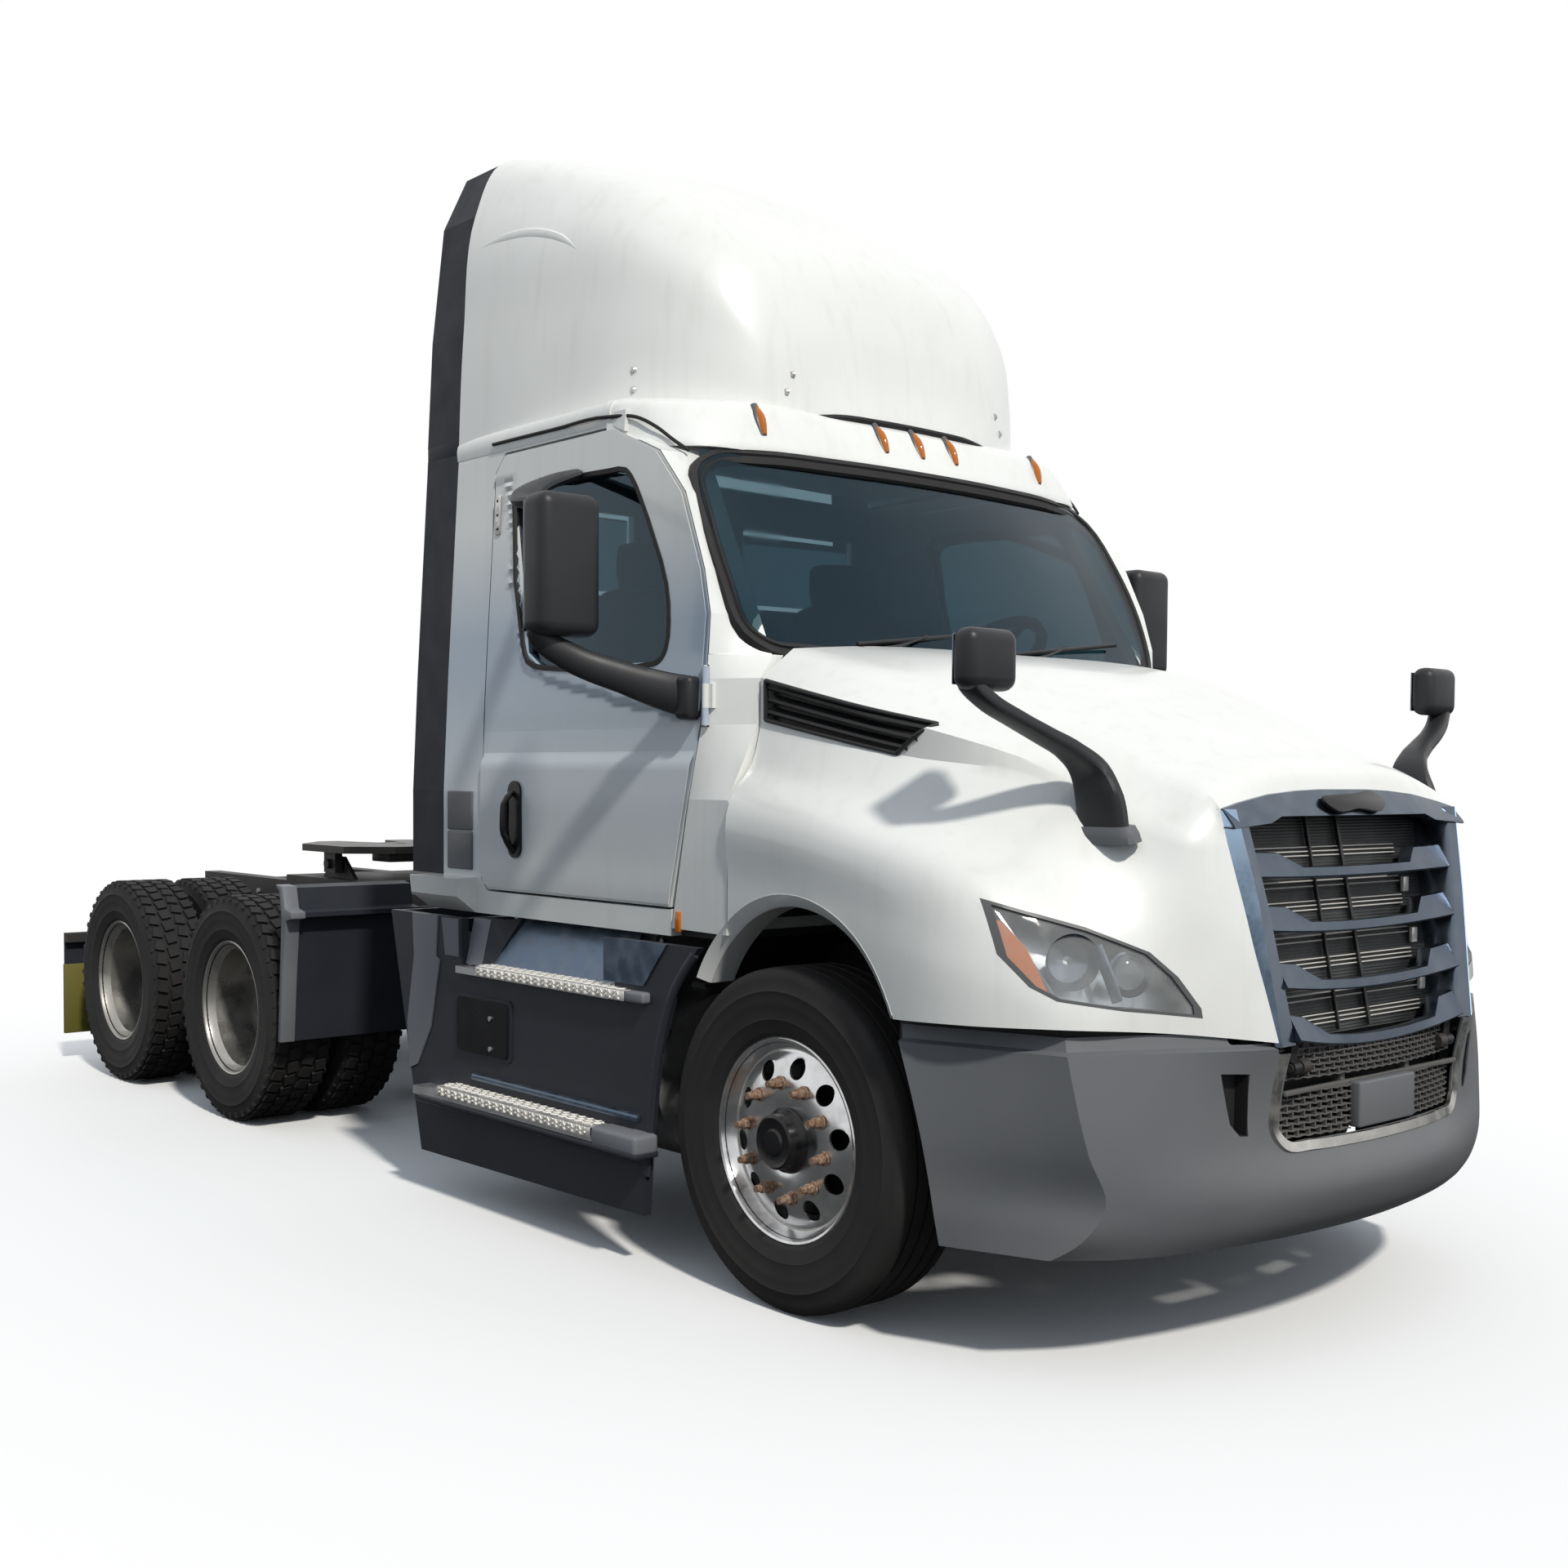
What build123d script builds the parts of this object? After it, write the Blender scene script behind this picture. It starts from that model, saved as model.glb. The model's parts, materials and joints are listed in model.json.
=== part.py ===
from build123d import *
import os
from math import cos, radians, sin, sqrt

# A conventional day-cab semi truck tractor with a tandem drive axle, in millimetres.
# +X is forward, +Y is the driver's left, +Z is up and the floor is Z = 0.
# The origin is on the floor, under the middle of the overall length.
# Lengthwise places are stations, counted ahead of the front axle.

os.makedirs("parts", exist_ok=True)

# ---- overall
front_overhang = 1300.0        # bumper nose ahead of the front axle
wheelbase = 3726.0             # front axle to the first drive axle
tandem_spacing = 1321.0        # first drive axle to the second
rear_overhang = 793.0          # mudflaps behind the second drive axle
overall_length = front_overhang + wheelbase + tandem_spacing + rear_overhang
front_axle_x = overall_length / 2 - front_overhang

# ---- wheels and axles
tyre_radius = 505.0
tyre_width = 290.0
bead_radius = 284.0
rim_flange_radius = 298.0
rim_width = 236.0
rim_wall = 18.0
steer_wheel_y = 1015.0
dual_outer_y = 1066.0
dual_spacing = 343.0
kingpin_y = 925.0
kingpin_radius = 22.0
steer_spindle_radius = 30.0
drive_spindle_radius = 45.0
drive_axle_tube_radius = 65.0
running_gap = 0.05             # radial clearance of shafts and pins in their bores
seat_gap = 0.3                 # clearance between separate pieces that rest together

# ---- frame
rail_outer_y = 432.0
rail_flange = 89.0
rail_web = 9.0
rail_bottom = 735.0
rail_top = 1002.0
rail_front = 1050.0
rear_end = -wheelbase - tandem_spacing - rear_overhang
flap_thickness = 12.0
hanger_depth = 38.0
rail_rear = rear_end + flap_thickness + hanger_depth

# ---- cab, hood and fairing
wall = 40.0                    # whole thickness of a cab wall or door
skin = 18.0                    # thickness of a moulded shell
shut_gap = 8.0                 # gap round a door and between cab and hood
glass_thickness = 6.0
cab_rear = -1950.0
door_rear = -1680.0
cab_sill = 1060.0
cab_floor_top = cab_sill + 50
door_bottom = cab_sill + 90
door_top = 2705.0
belt = 1922.0                  # lower edge of the door window
roof_bottom = 2760.0
roof_thickness = 40.0
hood_rear = -240.0
door_hinge = (-398.0, 1118.0)  # station and Y of the hinge pin
hinge_z = (1712.0, 1902.0)
hinge_middle = (1770.0, 1844.0)
door_pin_radius = 6.0
door_knuckle_radius = 11.0
hood_hinge = (1215.0, 800.0)   # station and Z of the hood's hinge pins
hood_pin_radius = 12.0
hood_arm_y = (385.0, 420.0)

# ---- bumper
bumper_wall = 25.0
bumper_bottom = 330.0
bumper_top = 905.0
bumper_mouth_y = 440.0
bumper_mouth_bottom = 600.0
bumper_mouth_top = 845.0

# ---- fifth wheel
fifth_wheel = -4330.0          # station of the kingpin jaw
fifth_wheel_pivot_z = 1105.0
fifth_wheel_top = 1200.0
fifth_wheel_pin_radius = 25.0
kingpin_bore_radius = 25.9     # jaw round a 50.8 mm trailer kingpin

# ---- worked out
sides = (("right", -1), ("left", 1))
drive_axles = (("front", -wheelbase), ("rear", -wheelbase - tandem_spacing))
axle_z = tyre_radius
rail_inner_y = rail_outer_y - rail_flange
dual_inner_y = dual_outer_y - dual_spacing


# ------------------------------------------------------------------ helpers
def at(station):
    """Row X of a station."""
    return front_axle_x + station


def block(stations, ys, zs, mode=Mode.ADD):
    """Box between two stations, two Y and two Z values."""
    centre = (at(sum(stations) / 2), sum(ys) / 2, sum(zs) / 2)
    with Locations(centre):
        Box(abs(stations[1] - stations[0]), abs(ys[1] - ys[0]), abs(zs[1] - zs[0]), mode=mode)


def pair_of_blocks(stations, ys, zs, mode=Mode.ADD):
    """The same box on both sides, with Y counted outboard from the centreline."""
    for _, side in sides:
        block(stations, (side * ys[0], side * ys[1]), zs, mode)


def rod_x(radius, stations, y, z, mode=Mode.ADD):
    """Cylinder along X between two stations."""
    with Locations((at(sum(stations) / 2), y, z)):
        Cylinder(radius, abs(stations[1] - stations[0]), rotation=(0, 90, 0), mode=mode)


def rod_y(radius, station, ys, z, mode=Mode.ADD):
    """Cylinder along Y between two Y values."""
    with Locations((at(station), sum(ys) / 2, z)):
        Cylinder(radius, abs(ys[1] - ys[0]), rotation=(90, 0, 0), mode=mode)


def rod_z(radius, station, y, zs, mode=Mode.ADD):
    """Cylinder along Z between two heights."""
    with Locations((at(station), y, sum(zs) / 2)):
        Cylinder(radius, abs(zs[1] - zs[0]), mode=mode)


def side_face(points, y):
    """Face from (station, Z) points in the upright lengthwise plane at this Y."""
    with BuildSketch(Plane((front_axle_x, y, 0), x_dir=(1, 0, 0), z_dir=(0, -1, 0))) as face:
        with BuildLine():
            Polyline(points, close=True)
        make_face()
    return face.sketch


def side_prism(points, ys, mode=Mode.ADD):
    """Prism of (station, Z) points between two Y values."""
    extrude(side_face(points, min(ys)), amount=-abs(ys[1] - ys[0]), mode=mode)


def cross_face(points, station):
    """Face from (Y, Z) points in the plane across the truck at this station."""
    with BuildSketch(Plane((at(station), 0, 0), x_dir=(0, 1, 0), z_dir=(1, 0, 0))) as face:
        with BuildLine():
            Polyline(points, close=True)
        make_face()
    return face.sketch


def cross_prism(points, stations, mode=Mode.ADD):
    """Prism of (Y, Z) points between two stations."""
    extrude(cross_face(points, min(stations)), amount=abs(stations[1] - stations[0]), mode=mode)


def plan_face(points, z):
    """Face from (station, Y) points in the level plane at this height."""
    with BuildSketch(Plane((front_axle_x, 0, z), x_dir=(1, 0, 0), z_dir=(0, 0, 1))) as face:
        with BuildLine():
            Polyline(points, close=True)
        make_face()
    return face.sketch


def plan_prism(points, zs, mode=Mode.ADD):
    """Prism of (station, Y) points between two heights."""
    extrude(plan_face(points, min(zs)), amount=abs(zs[1] - zs[0]), mode=mode)


def mirrored(half):
    """Closed outline from the half outline given as (Y, Z) from the centre out."""
    return [(-y, z) for y, z in reversed(half) if y > 0] + list(half)


def spin_y(points, station, z, mode=Mode.ADD):
    """Solid of revolution of (Y, radius) points about the crosswise line at this place."""
    plane = Plane((at(station), 0, z), x_dir=(0, 1, 0), z_dir=(1, 0, 0))
    with BuildSketch(plane) as profile:
        with BuildLine():
            Polyline(points, close=True)
        make_face()
    revolve(profile.sketch, axis=Axis((at(station), 0, z), (0, 1, 0)), mode=mode)


def write(name, part):
    """Label a finished piece and write its STEP file."""
    part.label = name
    export_step(part, "parts/" + name + ".step")


# ------------------------------------------------------------------ ladder frame
crossmember_stations = (-1900.0, -2900.0, -4386.0, -5740.0)
bumper_bracket_end = 1207
pin_bar_y = (rail_inner_y, hood_arm_y[0] - 5)
for name, side in sides:
    flange_y = (side * rail_inner_y, side * rail_outer_y)
    bracket_y = (side * rail_inner_y, side * (rail_outer_y - 12))
    bar_y = (side * pin_bar_y[0], side * pin_bar_y[1])
    with BuildPart() as frame_rail:
        web_y = (side * (rail_outer_y - rail_web), side * rail_outer_y)
        block((rail_rear, rail_front), web_y, (rail_bottom, rail_top))
        for low in (rail_bottom, rail_top - rail_web):
            block((rail_rear, rail_front), flange_y, (low, low + rail_web))
        # engine mount
        block((120, 240), (side * 320, side * (rail_outer_y - rail_web)), (800, 900))
        # brackets down to the bumper and forward to the hood's hinge pin
        block((rail_front - 90, rail_front), bracket_y, (450, rail_bottom))
        block((rail_front, bumper_bracket_end), bracket_y, (450, 560))
        block((rail_front - 30, rail_front), bracket_y, (rail_bottom, hood_hinge[1] + 20))
        block((rail_front, hood_hinge[0]), bar_y, (hood_hinge[1] - 20, hood_hinge[1] + 20))
        rod_y(20, hood_hinge[0], bar_y, hood_hinge[1])
        rod_y(hood_pin_radius, hood_hinge[0], (bar_y[0], side * (hood_arm_y[1] + 4)), hood_hinge[1])
        # mudflap hanger bar out from the rail end
        hanger = (rail_rear - hanger_depth, rail_rear)
        block(hanger, (side * rail_outer_y, side * 1195), (640, 690))
        block(hanger, (side * (rail_outer_y - rail_web), side * (rail_outer_y + 8)), (640, rail_bottom))
    write("frame_rail_" + name, frame_rail.part)

with BuildPart() as crossmembers:
    for station in crossmember_stations + (rail_front - 70,):
        ys = (rail_web - rail_outer_y, rail_outer_y - rail_web)
        block((station - 35, station + 35), ys, (rail_bottom + 45, rail_top - 45))
write("crossmembers", crossmembers.part)

# ------------------------------------------------------------------ front axle and springs
beam_top = 455.0
with BuildPart() as front_axle_beam:
    beam = [(0, beam_top), (560, beam_top), (760, 540), (kingpin_y, 550)]
    low = [(kingpin_y, 460), (790, 450), (600, 350), (0, 350)]
    cross_prism([(-y, z) for y, z in reversed(beam[1:])] + beam
                + low[:3] + [(-y, z) for y, z in reversed(low[:3])],
                (-45, 45))
    for _, side in sides:
        rod_z(45, 0, side * kingpin_y, (450, 560))
        rod_z(kingpin_radius + running_gap, 0, side * kingpin_y, (440, 570), Mode.SUBTRACT)
write("front_axle_beam", front_axle_beam.part)

spring_y = (rail_inner_y, rail_outer_y - 12)
trailing_arm_z = (395.0, 435.0)
with BuildPart() as suspension:
    for _, side in sides:
        ys = (side * spring_y[0], side * spring_y[1])
        # front leaf pack with its seat on the beam and its two hangers
        leaf = [(-720, 640), (-380, 560), (0, 535), (340, 560), (660, 640)]
        side_prism(leaf + [(x, z + 50) for x, z in reversed(leaf)], ys)
        block((-70, 70), ys, (beam_top, 545))
        for station in (-720, 660):
            block((station - 40, station + 40), ys, (630, rail_bottom))
        # one trailing arm for each drive axle, from its hanger back to the air spring
        for _, station in drive_axles:
            block((station + 430, station + 520), ys, (trailing_arm_z[0], rail_bottom))
            block((station - 400, station + 430), ys, trailing_arm_z)
            seat_top = axle_z - drive_axle_tube_radius - seat_gap
            block((station - 60, station + 60), ys, (trailing_arm_z[1], seat_top))
write("suspension", suspension.part)

air_spring_radius = 120.0
with BuildPart() as air_springs:
    for _, station in drive_axles:
        for _, side in sides:
            y = side * sum(spring_y) / 2
            rod_z(air_spring_radius, station - 270, y, (trailing_arm_z[1] + 20, rail_bottom - 20))
            rod_z(60, station - 270, y, (trailing_arm_z[1], rail_bottom))
write("air_springs", air_springs.part)

# ------------------------------------------------------------------ driveline
with BuildPart() as driveline:
    for _, station in drive_axles:
        rod_y(drive_axle_tube_radius, station, (-560, 560), axle_z)
        rod_y(drive_spindle_radius, station, (-980, 980), axle_z)
        rod_x(185, (station - 120, station + 200), 0, axle_z + 10)
        rod_x(90, (station + 200, station + 330), 0, axle_z + 60)
    with Locations((at((drive_axles[0][1] + drive_axles[1][1]) / 2), 0, axle_z + 60)):
        Cylinder(45, tandem_spacing, rotation=(0, 90, 0))
    block((-1350, -420), (-230, 230), (600, 1020))
    shaft = Edge.make_line((at(-1350), 0, 720), (at(drive_axles[0][1] + 320), 0, axle_z + 60))
    with BuildSketch(Plane(shaft @ 0, z_dir=shaft % 0)):
        Circle(55)
    sweep(path=shaft)
write("driveline", driveline.part)

with BuildPart() as engine_block:
    block((-270, 740), (-320, 320), (600, 1480))
write("engine_block", engine_block.part)

with BuildPart() as radiator:
    block((850, 940), (-330, 330), (640, rail_top))
    block((850, 940), (-470, 470), (rail_top, 1440))
write("radiator", radiator.part)

tank_radius = 285.0
with BuildPart() as fuel_tanks:
    for _, side in sides:
        rod_x(tank_radius, (-1900, -720), side * 765, 555)
        for station in (-1750, -870):
            block((station - 40, station + 40), (side * rail_outer_y, side * 765), (780, 860))
write("fuel_tanks", fuel_tanks.part)

# ------------------------------------------------------------------ step skirts and treads
skirt_y = (1150.0, 1180.0)
step_stations = (-1730.0, -780.0)
step_top_z = 870.0
lower_step_z = 410.0
lower_step_stations = (-1960.0, -640.0)
skirt_outline = [(-2250, 1040), (-2020, 150), (-620, 170), (-600, 420), (-556, 692), (-480, 893), (-351, 1040)]
with BuildPart() as step_skirts:
    for _, side in sides:
        ys = (side * skirt_y[0], side * skirt_y[1])
        side_prism(skirt_outline, ys)
        block(step_stations, (side * 1000, side * 1300), (step_top_z - 25, 1100), Mode.SUBTRACT)
        # returns behind the panel and the brackets that carry it from the frame
        block((-2235, -2205), (side * 700, side * skirt_y[0]), (940, 1040))
        for station in (-2150, -650):
            block((station - 30, station + 30), (side * rail_outer_y, side * skirt_y[0]), (950, 1000))
write("step_skirts", step_skirts.part)

with BuildPart() as tread_plates:
    for _, side in sides:
        block(step_stations, (side * 930, side * 1205), (step_top_z - 25, step_top_z))
        block(lower_step_stations, (side * skirt_y[1], side * 1250), (lower_step_z - 30, lower_step_z))
        block((step_stations[0] + 70, step_stations[1] - 20), (side * 985, side * 1000), (step_top_z, cab_sill))
    block((-2870, -2120), (-rail_outer_y, rail_outer_y), (rail_top, rail_top + 25))
write("tread_plates", tread_plates.part)

# ------------------------------------------------------------------ bumper
# plan outlines from the wheel arch round to the centreline: height, (station, Y) points
bumper_levels = (
    (bumper_bottom, ((630, 1140), (930, 1040), (1040, 850), (1130, 600), (1190, 300), (1215, 0))),
    (480.0, ((612, 1158), (1033, 955), (1140, 760), (1225, 500), (1285, 250), (front_overhang, 0))),
    (610.0, ((595, 1175), (1014, 1000), (1125, 770), (1205, 470), (1240, 250), (1255, 0))),
    (bumper_top, ((505, 1185), (963, 1040), (1105, 765), (1228, 535), (1262, 300), (1270, 0))),
)


def bumper_outline(points, inset):
    outer = [(points[0][0] - 2 * inset, points[0][1] - inset)]
    outer += [(x - inset, max(y - inset, 0)) for x, y in points[1:]]
    return outer + [(x, -y) for x, y in reversed(outer[:-1])]


with BuildPart() as front_bumper:
    loft([plan_face(bumper_outline(points, 0), z) for z, points in bumper_levels], ruled=True)
    inner = ((bumper_bottom - 1, bumper_levels[0][1]),) + bumper_levels[1:3]
    inner += ((bumper_top + 1, bumper_levels[3][1]),)
    loft([plan_face(bumper_outline(points, bumper_wall), z) for z, points in inner], ruled=True,
         mode=Mode.SUBTRACT)
    mouth = (bumper_mouth_bottom, bumper_top + 10)
    block((1100, 1400), (-bumper_mouth_y, bumper_mouth_y), mouth, Mode.SUBTRACT)
    for _, side in sides:
        # seat for the bracket from the rail
        block((1100, bumper_bracket_end), (side * rail_inner_y, side * (rail_outer_y - 12)), (450, 560),
              Mode.SUBTRACT)
        rim = [(side * bumper_mouth_y, bumper_mouth_top), (side * 1150, bumper_top), (side * 1150, 960),
               (side * bumper_mouth_y, 960)]
        cross_prism(rim, (900, 1400), Mode.SUBTRACT)
write("front_bumper", front_bumper.part)

# front line of the mesh in plan: station, Y
mesh_line = [(1240, 0), (1226, 250), (1194, bumper_mouth_y)]
mesh_thickness = 10.0
cover_face = 1262.0
with BuildPart() as bumper_mesh:
    right, middle, left = mesh_line[:0:-1], mesh_line[0], mesh_line[1:]
    line = [(x, -y) for x, y in right] + [middle] + left
    outline = line + [(x - mesh_thickness, y) for x, y in reversed(line)]
    plan_prism(outline, (bumper_mouth_bottom, 745))
    plan_prism(outline, (745, bumper_mouth_top - 8))
    for _, side in sides:
        block((1100, 1300), (side * (rail_inner_y - 6), side * 500), (745, 900), Mode.SUBTRACT)
    block((1232, cover_face), (-150, 150), (612, 732))
write("bumper_mesh", bumper_mesh.part)

# ------------------------------------------------------------------ rear guards
guard_front = [(-3190, 1085), (-3130, 1075), (-3110, 985), (-3050, 975), (-3050, 955), (-3110, 945),
               (-3160, 420)]
guard_back = [(-3175, 420), (-3126, 950), (-3145, 1058), (-3190, 1068)]
with BuildPart() as mud_guards:
    for _, side in sides:
        side_prism(guard_front + guard_back, (side * 610, side * 1205))
        block((-3110, -3080), (side * rail_outer_y, side * 640), (955, 972))
        flap = (rear_end, rear_end + flap_thickness)
        block(flap, (side * 790, side * 1195), (150, 690))
write("mud_guards", mud_guards.part)

# ------------------------------------------------------------------ fifth wheel
with BuildPart() as fifth_wheel_mount:
    block((fifth_wheel - 420, fifth_wheel + 420), (-rail_outer_y, rail_outer_y), (rail_top, rail_top + 30))
    for _, side in sides:
        ys = (side * 330, side * 350)
        side_prism([(fifth_wheel - 170, rail_top + 30), (fifth_wheel - 45, 1140), (fifth_wheel + 45, 1140),
                    (fifth_wheel + 170, rail_top + 30)], ys)
        ys = (side * 330, side * 420)
        rod_y(fifth_wheel_pin_radius, fifth_wheel, ys, fifth_wheel_pivot_z)
write("fifth_wheel_mount", fifth_wheel_mount.part)

plate_outline = [(-430, 250), (-430, 140), (-130, 60), (-130, -60), (-430, -140), (-430, -250), (-200, -450),
                 (250, -450), (400, -250), (400, 250), (250, 450), (-200, 450)]
with BuildPart() as fifth_wheel_plate:
    plan_prism([(fifth_wheel + x, y) for x, y in plate_outline], (fifth_wheel_top - 35, fifth_wheel_top))
    rod_z(kingpin_bore_radius, fifth_wheel, 0, (1150, 1250), Mode.SUBTRACT)
    for _, side in sides:
        ys = (side * 360, side * 400)
        block((fifth_wheel - 60, fifth_wheel + 60), ys, (1060, fifth_wheel_top - 35))
        rod_y(fifth_wheel_pin_radius + running_gap, fifth_wheel, ys, fifth_wheel_pivot_z, Mode.SUBTRACT)
write("fifth_wheel_plate", fifth_wheel_plate.part)

# ------------------------------------------------------------------ steering knuckles and tie rod
arm_station = -180.0
arm_z = (392.0, 412.0)
ball_radius = 14.0
for name, side in sides:
    with BuildPart() as knuckle:
        y = side * kingpin_y
        rod_z(kingpin_radius, 0, y, (arm_z[0], 610))
        for zs in ((arm_z[0], 440), (570, 610)):
            rod_z(45, 0, y, zs)
            block((-45, 45), (y, y + side * 80), zs)
        block((-60, 60), (y + side * 60, y + side * 80), (arm_z[0], 610))
        rod_y(steer_spindle_radius, 0, (y + side * 80, side * 1130), axle_z)
        # steering arm back to the tie rod's ball
        block((arm_station, 0), (y - 25, y + 25), arm_z)
        rod_z(25, arm_station, y, arm_z)
        rod_z(ball_radius, arm_station, y, (arm_z[0] - 40, arm_z[0]))
    write("knuckle_" + name, knuckle.part)

tie_rod_z = arm_z[0] - 22
with BuildPart() as tie_rod:
    rod_y(16, arm_station, (-kingpin_y + 20, kingpin_y - 20), tie_rod_z)
    for _, side in sides:
        rod_z(26, arm_station, side * kingpin_y, (tie_rod_z - 14, tie_rod_z + 14))
    rod_z(ball_radius + running_gap, arm_station, -kingpin_y, (tie_rod_z - 30, tie_rod_z + 30), Mode.SUBTRACT)
    rod_z(ball_radius + 2, arm_station, kingpin_y, (tie_rod_z - 30, tie_rod_z + 30), Mode.SUBTRACT)
write("tie_rod", tie_rod.part)

# ------------------------------------------------------------------ wheels
half_tyre = tyre_width / 2
half_rim = rim_width / 2
# tyre section: Y from the tyre's centre, radius
tyre_section = [(-half_rim + 8, bead_radius), (-half_rim + 8, rim_flange_radius + 2), (-half_tyre + 6, 350),
                (-half_tyre, 410), (-half_tyre + 10, 465),
                (-half_tyre + 28, tyre_radius - 8), (-half_tyre + 45, tyre_radius)]
tyre_section += [(-y, r) for y, r in reversed(tyre_section)]
barrel_inner = bead_radius - rim_wall


def tyre(y, station):
    """Tyre about the crosswise line through a wheel centre."""
    spin_y([(y + dy, r) for dy, r in tyre_section], station, axle_z)


def barrel_end(edge, inward):
    """Rim flange and bead seat at one end of a barrel; inward is +1 towards larger Y."""
    bead = bead_radius - seat_gap
    return [(edge, rim_flange_radius), (edge + inward * 7, rim_flange_radius), (edge + inward * 7, bead)]


def hand_holes(ys, station, radius, pitch_radius, count):
    """Round holes through a wheel disc."""
    for i in range(count):
        a = radians(360 / count * (i + 0.5))
        rod_y(radius, station + pitch_radius * sin(a), ys, axle_z + pitch_radius * cos(a), Mode.SUBTRACT)


for name, side in sides:
    y = side * steer_wheel_y
    with BuildPart() as steer_tyre:
        tyre(y, 0)
    write("front_tyre_" + name, steer_tyre.part)
    with BuildPart() as steer_rim:
        bore = steer_spindle_radius + running_gap
        inner, outer = steer_wheel_y - half_rim, steer_wheel_y + half_rim
        # hub, brake drum, barrel, disc and hub cap: Y, radius
        section = [(1030, bore), (1030, 140), (1046, 140), (1046, 165), (965, 165), (965, 180), (1096, 180)]
        section += [(1096, barrel_inner), (inner, barrel_inner)] + barrel_end(inner, 1)
        section += list(reversed(barrel_end(outer, -1))) + [(outer, barrel_inner), (1112, barrel_inner)]
        section += [(1112, 140), (1120, 138), (1120, 84), (1168, 78), (1172, 70), (1172, 0)]
        section += [(1131, 0), (1131, bore)]
        spin_y([(side * y, r) for y, r in section], 0, axle_z)
        hand_holes((side * 1090, side * 1120), 0, 31, 213, 10)
    write("front_rim_" + name, steer_rim.part)

dual_joint_y = (dual_outer_y + dual_inner_y) / 2
for axle, station in drive_axles:
    for name, side in sides:
        label = axle + "_drive_"
        with BuildPart() as dual_tyres:
            tyre(side * dual_outer_y, station)
            tyre(side * dual_inner_y, station)
        write(label + "tyres_" + name, dual_tyres.part)
        with BuildPart() as dual_rims:
            bore = drive_spindle_radius + running_gap
            low, high = dual_joint_y - 14, dual_joint_y + 14
            inner_ends = (dual_inner_y - half_rim, dual_inner_y + half_rim)
            outer_ends = (dual_outer_y - half_rim, dual_outer_y + half_rim)
            # hub, brake drum, inner barrel, outer barrel, disc and axle flange: Y, radius
            section = [(630, bore), (630, 78), (low - 12, 78), (low - 12, 188), (660, 188), (660, 205)]
            section += [(low, 205)]
            section += [(low, barrel_inner), (inner_ends[0], barrel_inner)] + barrel_end(inner_ends[0], 1)
            section += list(reversed(barrel_end(inner_ends[1], -1))) + [(inner_ends[1], bead_radius - 3)]
            section += [(outer_ends[0], bead_radius - 3)] + barrel_end(outer_ends[0], 1)
            section += list(reversed(barrel_end(outer_ends[1], -1)))
            section += [(outer_ends[1], barrel_inner), (high, barrel_inner), (high, 78), (985, 78), (985, 112)]
            section += [(1012, 112), (1012, 60), (1050, 56), (1050, 0), (981, 0), (981, bore)]
            spin_y([(side * y, r) for y, r in section], station, axle_z)
            hand_holes((side * (low - 5), side * (high + 5)), station, 28, 236, 10)
        write(label + "rims_" + name, dual_rims.part)

# ------------------------------------------------------------------ cab shell
# outer face of the cab's side, from the sill up: Y, Z
cab_side = [(1125, cab_sill), (1125, 1500), (1106, belt), (1062, door_top), (1058, roof_bottom)]


def side_band(stations, grow=0.0):
    """Both walls' prism: the cab's side profile, one wall thick."""
    for _, side in sides:
        outer = [(side * (y + grow), z) for y, z in cab_side]
        inner = [(side * (y - wall), z) for y, z in reversed(cab_side)]
        cross_prism(outer + inner, stations)


# the door's outline: station, Z
door_front = [(-560, door_bottom), (-470, 1516), (-412, 1800), (-405, 2060), (-445, 2200), (-560, 2450),
              (-705, 2600), (-960, door_top)]
door_rear_edge = [(-1620, door_top), (door_rear, 2640), (door_rear, 1190), (-1640, door_bottom)]
door_outline = door_front + door_rear_edge
window_outline = [(-640, belt), (-1330, belt + 10), (-1430, 1990), (-1560, 2560), (-1520, 2600), (-900, 2600),
                  (-820, 2540), (-700, 2320), (-605, 2080), (-600, 1960)]

brow_rear = -900.0
with BuildPart() as cab_sides:
    side_band((cab_rear, -553))
    front_cut = [(-380, cab_sill - 10), (-380, roof_bottom + 10),
                 (brow_rear, roof_bottom + 10), (brow_rear, 1200), (-553, 1200), (-553, cab_sill - 10)]
    side_prism(front_cut, (-1300, 1300), Mode.SUBTRACT)
    opening = offset(side_face(door_outline, -1300), shut_gap, kind=Kind.INTERSECTION, mode=Mode.PRIVATE)
    extrude(opening, amount=-2600, mode=Mode.SUBTRACT)
    for _, side in sides:
        # flared ledge under the rear corner
        ledge = [(1125, 1188), (1212, 1185), (1205, 1120), (1125, cab_sill)]
        cross_prism([(side * y, z) for y, z in ledge], (-2050, -1720))
write("cab_sides", cab_sides.part)

with BuildPart() as cab_back_wall:
    inner = [(y - wall, z) for y, z in cab_side if z > cab_sill]
    half = [(0, cab_floor_top)] + [(1125 - wall, cab_floor_top)] + inner + [(0, roof_bottom)]
    cross_prism(mirrored(half), (cab_rear, cab_rear + wall))
    for _, side in sides:
        block((cab_rear - 5, cab_rear + wall + 5), (side * 280, side * 915), (2270, 2600), Mode.SUBTRACT)
write("cab_back_wall", cab_back_wall.part)

with BuildPart() as cab_floor:
    block((cab_rear, -335), (wall - 1125, 1125 - wall), (cab_sill, cab_floor_top))
    for y in (-480, 480):
        block((-1430, -1030), (y - 190, y + 190), (cab_floor_top, 1240))
        block((-1380, -1080), (y - 130, y + 130), (1240, 1480))
write("cab_floor", cab_floor.part)

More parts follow.
